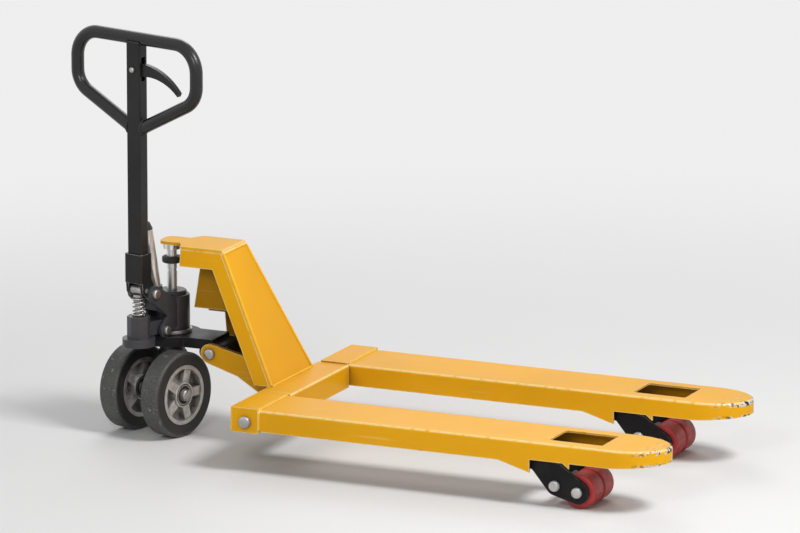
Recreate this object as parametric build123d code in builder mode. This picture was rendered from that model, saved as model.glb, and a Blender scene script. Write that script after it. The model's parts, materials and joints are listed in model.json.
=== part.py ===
from build123d import *
import os
from math import asin, atan2, cos, degrees, hypot, pi, radians, sin

# Manual pallet jack, millimetres. +X points to the fork tips, +Y to the left fork, +Z up.
# The origin lies on the floor under the middle of the whole jack.
# It rests as a user leaves it: forks half raised, handle upright, steer unit turned.

# Overall layout, measured from the steer axis and the floor
FORK_SPAN = 640.0
FORK_TOP = 150.0
TIP_REACH = 1350.0
STEER_TURN = 76.0
LIFT_UP = 50.0
LIFT_DOWN = 57.0

# Clearances
RUN = 0.05
GAP = 0.3
SIDE_PLAY = 1.0

# Forks
FORK_WIDTH = 160.0
FORK_WALL = 5.0
FORK_SIDE = 50.0
FORK_REAR = 374.0
FORK_EDGE_R = 7.0
NOSE_LENGTH = 112.0
NOSE_SIDE = 34.0
DIP_START = 965.0
DIP_CORNER = 1042.0
DIP_DEPTH = 72.0
NOTCH_END = 1122.0
NOTCH_DEPTH = 42.0
TOOTH_LENGTH = 16.0
TOOTH_DEPTH = 54.0
SLOT_START = 1076.0
SLOT_LENGTH = 130.0
SLOT_WIDTH = 96.0
SLOT_CORNER_R = 6.0

# Brackets that close the rear end of each fork
BRACKET_LENGTH = 68.0
BRACKET_WALL = 6.0
BRACKET_PROUD = 4.0

# Cross beam between the forks
BEAM_REAR = 299.0
BEAM_FRONT = 378.0
BEAM_WALL = 6.0

# Head: top plate with an ear over the ram, side plates and a sloped front plate
HEAD_TOP = 446.0
HEAD_REAR = 52.0
HEAD_FRONT = 157.0
HEAD_FOOT_FRONT = 306.0
HEAD_HALF_TOP = 60.0
HEAD_HALF_FOOT = 110.0
HEAD_PLATE = 6.0
HEAD_TOP_PLATE = 8.0
SKIRT_DEPTH = 46.0
FLANGE_WIDTH = 44.0
PANEL_STEP = 263.0
PANEL_TOE = 94.0
PANEL_LOW = 182.0
EAR_REACH = 22.0
EAR_HALF = 29.0
EAR_NECK = 36.0
EAR_CORNER_R = 18.0
WEB_CREST = 82.0
WEB_REAR = 58.0
WEB_LOW = 290.0
WEB_STEP = 192.0
WEB_TOE = 205.0
WEB_PLATE = 6.0

# Rocker that turns the ram's lift into the push rods' stroke
ROCKER_X = 342.0
ROCKER_Z = 121.0
SHAFT_R = 9.0
SHAFT_HEAD_R = 14.0
SHAFT_HEAD = 6.0
TUBE_R = 16.0
ARM_HUB_R = 18.0
LINK_X = 124.0
LINK_Z = 198.0
LINK_PIN_R = 9.0
LINK_EYE_R = 23.0
LINK_ARM_IN = 47.0
LINK_ARM = 12.0
LINK_HEAD = 5.0
LINK_HEAD_R = 13.0
ARM_MID_X = 205.0
ARM_MID_Z = 176.0
ARM_MID_R = 26.0
ARM_NECK_BACK = 52.0
ARM_NECK_DROP = 11.0
ARM_NECK_R = 14.0
LEVER_R = 27.0
LEVER_EYE_R = 9.0
LEVER_PLATE = 8.0
ROD_PIN_R = 3.5
ROD_EYE_R = 8.5
ROD_EYE = 14.0
ROD_BAR = 12.0
ROD_SLACK = 2.1

# Load rollers under the fork tips: two side by side on one axle, in a swinging frame
ROLLER_R = 40.0
ROLLER_W = 52.0
ROLLER_GAP = 6.0
ROLLER_HUB_R = 24.0
ROLLER_BEARING_R = 16.0
ROLLER_EDGE_R = 5.0
ROLLER_DISH = 2.0
AXLE_X = 1152.0
AXLE_R = 8.0
AXLE_HEAD_R = 12.5
AXLE_HEAD = 5.0
TIE_X = 1098.0
TIE_Z = 50.0
TIE_EYE_R = 22.0
KNEE_X = 1050.0
KNEE_Z = 95.0
KNEE_R = 14.0
CREST_X = 1104.0
CREST_Z = 86.0
CREST_R = 14.0
FRAME_PIVOT_X = 985.0
FRAME_PIVOT_Z = 112.0
FRAME_PIVOT_R = 7.0
FRAME_TUBE_R = 13.0
FRAME_BAR_R = 10.0
FRAME_PLATE = 8.0
FRAME_EYE_R = 27.0
FRAME_ROOT_R = 18.0

# Steer wheels
WHEEL_R = 100.0
WHEEL_W = 50.0
WHEEL_PITCH = 124.0
WHEEL_TRAIL = 62.0
TYRE_BORE_R = 70.0
HUB_RIM = 9.0
HUB_WEB = 12.0
HUB_BOSS_R = 30.0
HUB_RIBS = 5
HUB_RIB = 22.0
HUB_RIB_SINK = 4.0
HUB_BORE_R = 18.0
TYRE_EDGE_R = 6.0
BEARING_R = 23.5
BEARING_W = 14.0
BEARING_SEAL_R = 20.0
BEARING_INNER_R = 14.0
BEARING_SINK = 1.0
WHEEL_AXLE_R = 10.0
CAP_R = 14.0
CAP_LENGTH = 7.0

# Thrust plate that carries the steer unit and the link arms
THRUST_LOW = 204.0
THRUST_PLATE = 24.0
THRUST_R = 68.0
LINK_SLOT_WALL = 8.0
THRUST_RING = 9.0
THRUST_RING_R = 46.0

# Pump, turned with the steer unit
PUMP_TOP = 318.0
PUMP_R = 41.0
PUMP_COLLAR_R = 34.0
PUMP_COLLAR = 9.0
STEM_R = 29.0
STEM_LOW = 150.0
CARRIER_TOP = 168.0
CARRIER_R = 24.0
CARRIER_HALF = 26.0
RAM_R = 12.0
RAM_BORE_LOW = 158.0
RAM_LOW = 222.0
RAM_GROOVE_Z = 372.0
RAM_GROOVE = 5.0
RAM_RING_R = 23.0
RAM_RING = 15.0
RAM_RING_Z = 391.0
RAM_CUP_R = 20.0
RAM_CUP = 14.0
PLUNGER_X = -120.0
PLUNGER_BOSS_R = 27.0
PLUNGER_BOSS_TOP = 286.0
PLUNGER_FLANGE_R = 38.0
PLUNGER_FLANGE_LOW = 216.0
PLUNGER_FLANGE = 18.0
PLUNGER_STEM_R = 8.0
PLUNGER_DEPTH = 36.0
PLUNGER_CAP_R = 11.5
PLUNGER_CAP = 6.0
SPRING_WIRE = 3.4
SPRING_COIL_R = 13.2
SPRING_TURNS = 4
SPRING_LEAD = 0.14
SPRING_RISE = 4.0
BRIDGE_HALF = 20.0
BRIDGE_TOP = 268.0
CHEEK_PLATE = 8.0
CHEEK_EYE_R = 19.0
LOWER_PIN_X = -62.0
LOWER_PIN_Z = 246.0
LOWER_PIN_R = 7.0
LOWER_EYE_R = 17.0
LOWER_HEAD_R = 10.0
CHEEK_ROOT_X = -18.0
CHEEK_ROOT_Z = 280.0
CHEEK_ROOT_R = 25.0
PUMP_EDGE_R = 4.0
PLUNGER_BOSS_SIDES = 8

# Buffer strut between the pump and the back of the handle
STRUT_FOOT_X = -54.0
STRUT_FOOT_Z = 316.0
SEAT_HALF = 18.0
SEAT_LOW = 290.0
SEAT_TOP = 326.0
STRUT_LEAN = 11.0
STRUT_R = 12.5
STRUT_LENGTH = 166.0
CUP_R = 16.0
CUP_LENGTH = 30.0
CUP_FLOOR = 6.0
CAP_TAPER_R = 7.5
CAP_TAPER = 16.0
PAD_HEIGHT = 26.0
PAD_HALF = 9.0
PAD_LAP = 4.0

# Handle
PIVOT_X = -100.0
PIVOT_Z = 338.0
PIVOT_R = 8.0
PIVOT_HEAD_R = 11.0
PIVOT_HEAD = 5.0
HANDLE_TILT = 75.0
SHAFT_DEEP = 30.0
SHAFT_WIDE = 40.0
SHAFT_WALL = 3.0
SHAFT_CORNER_R = 5.0
SOCKET_DEEP = 40.0
SOCKET_WIDE = 50.0
SOCKET_LOW = 366.0
SOCKET_TOP = 434.0
EAR_PLATE = 8.0
EAR_EYE_R = 16.0
PRESS_ROLLER_R = 11.0
PRESS_ROLLER_Z = 348.0
PRESS_PIN_R = 5.0
LOOP_TOP = 938.0
LOOP_HALF = 178.0
LOOP_DEPTH = 126.0
LOOP_REACH = 203.0
LOOP_ROOT = 9.0
LOOP_TUBE_R = 15.0
LOOP_BORE_R = 12.0
LOOP_BEND_R = 62.0
LOOP_SHOULDER_R = 55.0
LEVER_PIN_DROP = 72.0
LEVER_PIN_R = 4.0
LEVER_WIDTH = 12.0
LEVER_REACH = 130.0
LEVER_DROP = 56.0
LEVER_DEPTH = 30.0
LEVER_TIP = 8.0
LEVER_WAIST = 20.0
LEVER_BOW = 14.0
LEVER_HEAD_R = 6.5
LEVER_HEAD = 2.5
LEVER_SLOT_HIGH = 30.0
LEVER_SLOT_LOW = 26.0
PULL_ROD_R = 2.5
PULL_ROD_Y = 9.0
PULL_HEAD_R = 4.5
PULL_HEAD = 4.0
PULL_END = 2.0
SOCKET_FLOOR = 8.0
SOCKET_CORNER_R = 5.0

# Values worked out from the sizes above
TURN_COS = cos(radians(STEER_TURN))
TURN_SIN = sin(radians(STEER_TURN))
REAR_REACH = LOOP_HALF * TURN_SIN + LOOP_TUBE_R - PLUNGER_X * TURN_COS
STEER_X = (REAR_REACH - TIP_REACH) / 2
FORK_Y = (FORK_SPAN - FORK_WIDTH) / 2
FORK_IN = FORK_WIDTH / 2 - FORK_WALL
BEAM_HALF = FORK_SPAN / 2 - FORK_WIDTH - BRACKET_PROUD
HEAD_HEIGHT = HEAD_TOP - FORK_TOP
LINK_ARM_OUT = LINK_ARM_IN + LINK_ARM
WHEEL_MID = (-WHEEL_TRAIL, WHEEL_R)
LINK_LENGTH = hypot(ROCKER_X - LINK_X, LINK_Z - ROCKER_Z)
LINK_REST = asin((LINK_Z - ROCKER_Z) / LINK_LENGTH)
LINK_RAISED = asin((LINK_Z - LIFT_UP - ROCKER_Z) / LINK_LENGTH)
LINK_LOWERED = asin((LINK_Z + LIFT_DOWN - ROCKER_Z) / LINK_LENGTH)
ROCKER_RATE = (LINK_LOWERED - LINK_RAISED) / (LIFT_UP + LIFT_DOWN)
FRAME_DROP = FRAME_PIVOT_Z - ROLLER_R
FRAME_LENGTH = hypot(AXLE_X - FRAME_PIVOT_X, FRAME_DROP)
FRAME_RAISED = asin((FRAME_DROP + LIFT_UP) / FRAME_LENGTH)
FRAME_LOWERED = asin((FRAME_DROP - LIFT_DOWN) / FRAME_LENGTH)
FRAME_RATE = (FRAME_RAISED - FRAME_LOWERED) / (LIFT_UP + LIFT_DOWN)
FRAME_LEVER_R = LEVER_R * ROCKER_RATE / FRAME_RATE
FRAME_IN = ROLLER_W + ROLLER_GAP / 2 + SIDE_PLAY
FRAME_OUT = FRAME_IN + FRAME_PLATE
LINK_SLIP_RAISED = ROCKER_X - LINK_X - LINK_LENGTH * cos(LINK_REST - ROCKER_RATE * LIFT_UP)
LINK_SLIP_LOWERED = ROCKER_X - LINK_X - LINK_LENGTH * cos(LINK_REST + ROCKER_RATE * LIFT_DOWN)
LINK_DIP = LINK_LENGTH * (sin(LINK_RAISED) - sin(LINK_REST - ROCKER_RATE * LIFT_UP))
LINK_SLOT_R = LINK_PIN_R + abs(LINK_DIP) + SIDE_PLAY
LEVER_IN = ROD_EYE / 2
LEVER_OUT = LEVER_IN + LEVER_PLATE
LEVER_PIN_LOW = ROCKER_Z - LEVER_R
FRAME_PIN_HIGH = FRAME_PIVOT_Z + FRAME_LEVER_R
CHEEK_IN = SOCKET_WIDE / 2 + SIDE_PLAY
CHEEK_OUT = CHEEK_IN + CHEEK_PLATE
EAR_IN = SOCKET_WIDE / 2 - EAR_PLATE
PRESS_BACK = PIVOT_X - PLUNGER_X
PRESS_RISE = PRESS_ROLLER_Z - PIVOT_Z
PLUNGER_RATE = max(
    (PRESS_RISE * (1 - cos(radians(turn))) + PRESS_BACK * sin(radians(turn))) / radians(turn)
    for turn in range(1, int(HANDLE_TILT) + 1)
) + GAP
PLUNGER_STROKE = PLUNGER_RATE * radians(HANDLE_TILT)
PLUNGER_BORE = PLUNGER_DEPTH + PLUNGER_STROKE + SIDE_PLAY
PLUNGER_TOP = PRESS_ROLLER_Z - PRESS_ROLLER_R - GAP
LOOP_SHOULDER = LOOP_TOP - LOOP_DEPTH
LOOP_JOIN = LOOP_TOP - LOOP_REACH
LEVER_PIN_Z = LOOP_TOP - LEVER_PIN_DROP
SIDES = (-1, 1)


def at(x, z):
    """Place in the upright plane along the jack, from the steer axis and the floor."""
    return (STEER_X + x, z)


def lengthwise(y):
    """Upright plane along the jack at y, with its normal to the right side."""
    return Plane.XZ.offset(-y)


# Planes of the steer unit, turned with it
UNIT_X = (TURN_COS, TURN_SIN, 0)
UNIT_Y = (-TURN_SIN, TURN_COS, 0)
UNIT_XY = Plane(origin=(STEER_X, 0, 0), x_dir=UNIT_X, z_dir=(0, 0, 1))
UNIT_XZ = Plane(origin=(STEER_X, 0, 0), x_dir=UNIT_X, z_dir=(TURN_SIN, -TURN_COS, 0))
UNIT_YZ = Plane(origin=(STEER_X, 0, 0), x_dir=UNIT_Y, z_dir=UNIT_X)


def save(piece, name):
    """Label a finished piece and write it under its own name."""
    piece.part.label = name
    export_step(piece.part, f"parts/{name}.step")


os.makedirs("parts", exist_ok=True)


# Forks: pressed channels with a rounded nose, a roller notch in each side and a slot on top
def fork_plan(y, wall, rear):
    """Outline of one fork seen from above, drawn in by a wall thickness."""
    straight = TIP_REACH - NOSE_LENGTH
    half = FORK_WIDTH / 2 - wall
    with Locations((STEER_X + (straight + rear) / 2, y)):
        Rectangle(straight - rear, 2 * half)
    with Locations((STEER_X + straight, y)):
        Ellipse(NOSE_LENGTH - wall, half)


def fork_underside():
    """Outline, seen from the side, of what is cut away under the fork's walls."""
    low = FORK_TOP - 2 * DIP_DEPTH
    Polygon(
        at(FORK_REAR - FORK_WALL, low),
        at(FORK_REAR - FORK_WALL, FORK_TOP - FORK_SIDE),
        at(DIP_START, FORK_TOP - FORK_SIDE),
        at(DIP_CORNER, FORK_TOP - DIP_DEPTH),
        at(DIP_CORNER, FORK_TOP - NOTCH_DEPTH),
        at(NOTCH_END, FORK_TOP - NOTCH_DEPTH),
        at(NOTCH_END + TOOTH_LENGTH, FORK_TOP - TOOTH_DEPTH),
        at(NOTCH_END + TOOTH_LENGTH, FORK_TOP - NOTCH_DEPTH),
        at(TIP_REACH - NOSE_LENGTH, FORK_TOP - NOTCH_DEPTH),
        at(TIP_REACH, FORK_TOP - NOSE_SIDE),
        at(TIP_REACH + FORK_WALL, low),
        align=None,
    )


for side, hand in zip(SIDES, ("right", "left")):
    with BuildPart() as fork:
        with BuildSketch(Plane.XY.offset(FORK_TOP - DIP_DEPTH)):
            fork_plan(side * FORK_Y, 0, FORK_REAR)
        extrude(amount=DIP_DEPTH)
        rim = fork.faces().sort_by(Axis.Z)[-1].edges()
        fillet(rim.filter_by(Axis.Y, reverse=True), FORK_EDGE_R)
        with BuildSketch(Plane.XY.offset(FORK_TOP - DIP_DEPTH)):
            fork_plan(side * FORK_Y, FORK_WALL, FORK_REAR - FORK_WALL)
        extrude(amount=DIP_DEPTH - FORK_WALL, mode=Mode.SUBTRACT)
        with BuildSketch(lengthwise(side * FORK_Y)):
            fork_underside()
        extrude(amount=FORK_WIDTH, both=True, mode=Mode.SUBTRACT)
        with BuildSketch(Plane.XY.offset(FORK_TOP)):
            with Locations((STEER_X + SLOT_START + SLOT_LENGTH / 2, side * FORK_Y)):
                RectangleRounded(SLOT_LENGTH, SLOT_WIDTH, SLOT_CORNER_R)
        extrude(amount=-2 * FORK_WALL, mode=Mode.SUBTRACT)
    save(fork, f"{hand}_fork")

# Brackets: a box at the root of each fork that holds the end of the rocker shaft
BRACKET_LOW = FORK_TOP - FORK_SIDE - BRACKET_PROUD
BRACKET_HALF = FORK_WIDTH / 2 + BRACKET_PROUD
BRACKET_TOP = FORK_TOP + BRACKET_PROUD
with BuildPart() as fork_brackets:
    for side in SIDES:
        mid = (STEER_X + FORK_REAR - BRACKET_LENGTH / 2, side * FORK_Y)
        with BuildSketch(Plane.XY.offset(BRACKET_LOW)):
            with Locations(mid):
                Rectangle(BRACKET_LENGTH, 2 * BRACKET_HALF)
        extrude(amount=BRACKET_TOP - BRACKET_LOW)
        with BuildSketch(Plane.XY.offset(BRACKET_LOW)):
            with Locations((mid[0] + BRACKET_WALL, mid[1])):
                Rectangle(BRACKET_LENGTH, 2 * (BRACKET_HALF - BRACKET_WALL))
        extrude(amount=BRACKET_TOP - BRACKET_LOW - BRACKET_WALL, mode=Mode.SUBTRACT)
        with BuildSketch(lengthwise(side * FORK_Y)):
            with Locations(at(ROCKER_X, ROCKER_Z)):
                Circle(SHAFT_R + RUN)
        extrude(amount=-side * BRACKET_HALF, mode=Mode.SUBTRACT)
        with BuildSketch(lengthwise(side * FORK_Y)):
            with Locations(at(ROCKER_X, ROCKER_Z)):
                Circle(TUBE_R + SIDE_PLAY)
        extrude(amount=side * BRACKET_HALF, mode=Mode.SUBTRACT)
save(fork_brackets, "fork_brackets")

# Cross beam: an angle plate between the brackets, open behind for the rocker
with BuildPart() as cross_beam:
    with BuildSketch(lengthwise(0)):
        Polygon(
            at(BEAM_REAR, FORK_TOP),
            at(BEAM_FRONT, FORK_TOP),
            at(BEAM_FRONT, BRACKET_LOW),
            at(BEAM_FRONT - BEAM_WALL, BRACKET_LOW),
            at(BEAM_FRONT - BEAM_WALL, FORK_TOP - BEAM_WALL),
            at(BEAM_REAR, FORK_TOP - BEAM_WALL),
            align=None,
        )
    extrude(amount=BEAM_HALF, both=True)
    bend = cross_beam.edges().filter_by(Axis.Y).group_by(Axis.Z)[-1].sort_by(Axis.X)[-1]
    fillet(bend, BEAM_WALL)
save(cross_beam, "cross_beam")


# Head: flared hood, open on its right side, cut into the plates that it is welded from
def head_front(z):
    """Front face of the head at height z, from the steer axis."""
    return HEAD_FRONT + (HEAD_FOOT_FRONT - HEAD_FRONT) * (HEAD_TOP - z) / HEAD_HEIGHT


def head_half(z):
    """Half width of the head at height z."""
    return HEAD_HALF_TOP + (HEAD_HALF_FOOT - HEAD_HALF_TOP) * (HEAD_TOP - z) / HEAD_HEIGHT


def head_outline(z, inset, rear):
    """Outline of the head at height z, drawn in by an inset."""
    front = head_front(z) - inset
    with Locations((STEER_X + (front + rear) / 2, 0)):
        Rectangle(front - rear, 2 * (head_half(z) - inset))


SKIRT_Z = HEAD_TOP - SKIRT_DEPTH
with BuildPart() as hood:
    with BuildSketch(Plane.XY.offset(HEAD_TOP)):
        head_outline(HEAD_TOP, 0, HEAD_REAR)
    with BuildSketch(Plane.XY.offset(FORK_TOP)):
        head_outline(FORK_TOP, 0, HEAD_REAR)
    loft(ruled=True)
    with BuildSketch(Plane.XY.offset(HEAD_TOP - HEAD_TOP_PLATE)):
        head_outline(HEAD_TOP - HEAD_TOP_PLATE, HEAD_PLATE, 0)
    with BuildSketch(Plane.XY):
        head_outline(0, HEAD_PLATE, 0)
    loft(ruled=True, mode=Mode.SUBTRACT)
    with BuildSketch(lengthwise(0)):
        Polygon(
            at(0, SKIRT_Z),
            at(head_front(SKIRT_Z) - FLANGE_WIDTH, SKIRT_Z),
            at(head_front(0) - FLANGE_WIDTH, 0),
            at(0, 0),
            align=None,
        )
    extrude(amount=HEAD_HALF_FOOT, mode=Mode.SUBTRACT)
    with BuildSketch(lengthwise(0)):
        Polygon(
            at(0, PANEL_STEP),
            at(PANEL_TOE, PANEL_STEP),
            at(PANEL_TOE, PANEL_LOW),
            at(head_front(PANEL_LOW) - FLANGE_WIDTH, PANEL_LOW),
            at(head_front(0) - FLANGE_WIDTH, 0),
            at(0, 0),
            align=None,
        )
    extrude(amount=-HEAD_HALF_FOOT, mode=Mode.SUBTRACT)

with BuildPart() as head_top_plate:
    add(hood.part)
    split(bisect_by=Plane.XY.offset(HEAD_TOP - HEAD_TOP_PLATE), keep=Keep.TOP)
    with BuildSketch(Plane.XY.offset(HEAD_TOP)):
        Polygon(
            (STEER_X + HEAD_REAR, HEAD_HALF_TOP),
            (STEER_X + EAR_NECK, EAR_HALF),
            (STEER_X - EAR_REACH, EAR_HALF),
            (STEER_X - EAR_REACH, -EAR_HALF),
            (STEER_X + EAR_NECK, -EAR_HALF),
            (STEER_X + HEAD_REAR, -HEAD_HALF_TOP),
            align=None,
        )
        fillet(vertices().group_by(Axis.X)[0], EAR_CORNER_R)
    extrude(amount=-HEAD_TOP_PLATE)
save(head_top_plate, "head_top_plate")

SLOPE = atan2(HEAD_HEIGHT, HEAD_FOOT_FRONT - HEAD_FRONT)
FRONT_BACK = Plane(
    origin=(STEER_X + HEAD_FRONT - HEAD_PLATE, 0, HEAD_TOP),
    x_dir=(0, 1, 0),
    z_dir=(sin(SLOPE), 0, cos(SLOPE)),
)
with BuildPart() as head_body:
    add(hood.part)
    split(bisect_by=Plane.XY.offset(HEAD_TOP - HEAD_TOP_PLATE), keep=Keep.BOTTOM)
with BuildPart() as head_front_plate:
    add(head_body.part)
    split(bisect_by=FRONT_BACK, keep=Keep.TOP)
save(head_front_plate, "head_front_plate")
with BuildPart() as head_side_plates:
    add(head_body.part)
    split(bisect_by=FRONT_BACK, keep=Keep.BOTTOM)
save(head_side_plates, "head_side_plates")

WEB_TOP = HEAD_TOP - HEAD_TOP_PLATE
with BuildPart() as head_web:
    with BuildSketch(lengthwise(0)):
        Polygon(
            at(WEB_CREST, WEB_TOP),
            at(head_front(WEB_TOP) - HEAD_PLATE, WEB_TOP),
            at(head_front(WEB_TOE) - HEAD_PLATE, WEB_TOE),
            at(WEB_STEP, WEB_TOE),
            at(WEB_STEP, WEB_LOW),
            at(WEB_REAR, WEB_LOW),
            align=None,
        )
    extrude(amount=WEB_PLATE / 2, both=True)
save(head_web, "head_web")

# Rocker: a tube on the shaft, with two link arms and two pairs of levers
with BuildPart() as rocker_shaft:
    reach = FORK_Y + BRACKET_HALF
    with BuildSketch(lengthwise(0)):
        with Locations(at(ROCKER_X, ROCKER_Z)):
            Circle(SHAFT_R)
    extrude(amount=reach, both=True)
    for side in SIDES:
        with BuildSketch(lengthwise(side * reach)):
            with Locations(at(ROCKER_X, ROCKER_Z)):
                Circle(SHAFT_HEAD_R)
        extrude(amount=-side * SHAFT_HEAD)
    ends = rocker_shaft.faces().sort_by(Axis.Y)
    chamfer(ends[0].edges() + ends[-1].edges(), SHAFT_HEAD / 4)
save(rocker_shaft, "rocker_shaft")

with BuildPart() as rocker_tube:
    with BuildSketch(lengthwise(0)):
        with Locations(at(ROCKER_X, ROCKER_Z)):
            Circle(TUBE_R)
    extrude(amount=FORK_Y + LEVER_OUT, both=True)
    for y in (-FORK_Y, FORK_Y):
        for side in SIDES:
            with BuildSketch(lengthwise(y + side * LEVER_IN)):
                with Locations(at(ROCKER_X, ROCKER_Z)):
                    Circle(TUBE_R)
                with Locations(at(ROCKER_X, LEVER_PIN_LOW)):
                    Circle(LEVER_EYE_R)
                make_hull()
                with Locations(at(ROCKER_X, LEVER_PIN_LOW)):
                    Circle(ROD_PIN_R + RUN, mode=Mode.SUBTRACT)
            extrude(amount=-side * LEVER_PLATE)
    with BuildSketch(lengthwise(0)):
        with Locations(at(ROCKER_X, ROCKER_Z)):
            Circle(SHAFT_R + RUN)
    extrude(amount=FORK_SPAN, both=True, mode=Mode.SUBTRACT)
save(rocker_tube, "rocker_tube")

NECK_X = ROCKER_X - ARM_NECK_BACK
NECK_Z = ROCKER_Z - ARM_NECK_DROP
with BuildPart() as link_arms:
    for side in SIDES:
        with BuildSketch(lengthwise(side * LINK_ARM_IN)):
            with Locations(at(LINK_X, LINK_Z)):
                Circle(LINK_EYE_R)
            with Locations(at(ARM_MID_X, ARM_MID_Z)):
                Circle(ARM_MID_R)
            make_hull()
        extrude(amount=-side * LINK_ARM)
        with BuildSketch(lengthwise(side * LINK_ARM_IN)):
            with Locations(at(ARM_MID_X, ARM_MID_Z)):
                Circle(ARM_MID_R)
            with Locations(at(NECK_X, NECK_Z)):
                Circle(ARM_NECK_R)
            make_hull()
        extrude(amount=-side * LINK_ARM)
        with BuildSketch(lengthwise(side * LINK_ARM_IN)):
            with Locations(at(NECK_X, NECK_Z)):
                Circle(ARM_NECK_R)
            with Locations(at(ROCKER_X, ROCKER_Z)):
                Circle(ARM_HUB_R)
            make_hull()
        extrude(amount=-side * LINK_ARM)
    with BuildSketch(lengthwise(0)):
        with Locations(at(ROCKER_X, ROCKER_Z)):
            Circle(TUBE_R + RUN)
        with Locations(at(LINK_X, LINK_Z)):
            Circle(LINK_PIN_R + RUN)
    extrude(amount=FORK_SPAN, both=True, mode=Mode.SUBTRACT)
save(link_arms, "link_arms")

with BuildPart() as link_pin:
    with BuildSketch(lengthwise(0)):
        with Locations(at(LINK_X, LINK_Z)):
            Circle(LINK_PIN_R)
    extrude(amount=LINK_ARM_OUT, both=True)
    for side in SIDES:
        with BuildSketch(lengthwise(side * LINK_ARM_OUT)):
            with Locations(at(LINK_X, LINK_Z)):
                Circle(LINK_HEAD_R)
        extrude(amount=-side * LINK_HEAD)
    ends = link_pin.faces().sort_by(Axis.Y)
    chamfer(ends[0].edges() + ends[-1].edges(), LINK_HEAD / 4)
save(link_pin, "link_pin")

with BuildPart() as lever_pins:
    for y in (-FORK_Y, FORK_Y):
        with BuildSketch(lengthwise(y)):
            with Locations(at(ROCKER_X, LEVER_PIN_LOW)):
                Circle(ROD_PIN_R)
        extrude(amount=LEVER_OUT, both=True)
save(lever_pins, "lever_pins")

# Push rods, from the rocker's levers to the roller frames
ROD_TILT = degrees(atan2(FRAME_PIN_HIGH - LEVER_PIN_LOW, FRAME_PIVOT_X - ROCKER_X))
ROD_LENGTH = hypot(FRAME_PIN_HIGH - LEVER_PIN_LOW, FRAME_PIVOT_X - ROCKER_X)
for side, hand in zip(SIDES, ("right", "left")):
    with BuildPart() as push_rod:
        with BuildSketch(lengthwise(side * FORK_Y)):
            middle = at((FRAME_PIVOT_X + ROCKER_X) / 2, (FRAME_PIN_HIGH + LEVER_PIN_LOW) / 2)
            with Locations(middle):
                Rectangle(ROD_LENGTH, ROD_BAR, rotation=ROD_TILT)
            with Locations(at(ROCKER_X, LEVER_PIN_LOW), at(FRAME_PIVOT_X, FRAME_PIN_HIGH)):
                Circle(ROD_EYE_R)
                Circle(ROD_PIN_R + ROD_SLACK, mode=Mode.SUBTRACT)
        extrude(amount=ROD_EYE / 2, both=True)
    save(push_rod, f"{hand}_push_rod")

# Roller frames: two cranked plates on a split tube, with lugs for the push rod and a tie bolt
with BuildPart() as frame_pivots:
    for side in SIDES:
        with BuildSketch(lengthwise(side * FORK_Y)):
            with Locations(at(FRAME_PIVOT_X, FRAME_PIVOT_Z)):
                Circle(FRAME_PIVOT_R)
        extrude(amount=FORK_IN, both=True)
save(frame_pivots, "frame_pivots")

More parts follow.
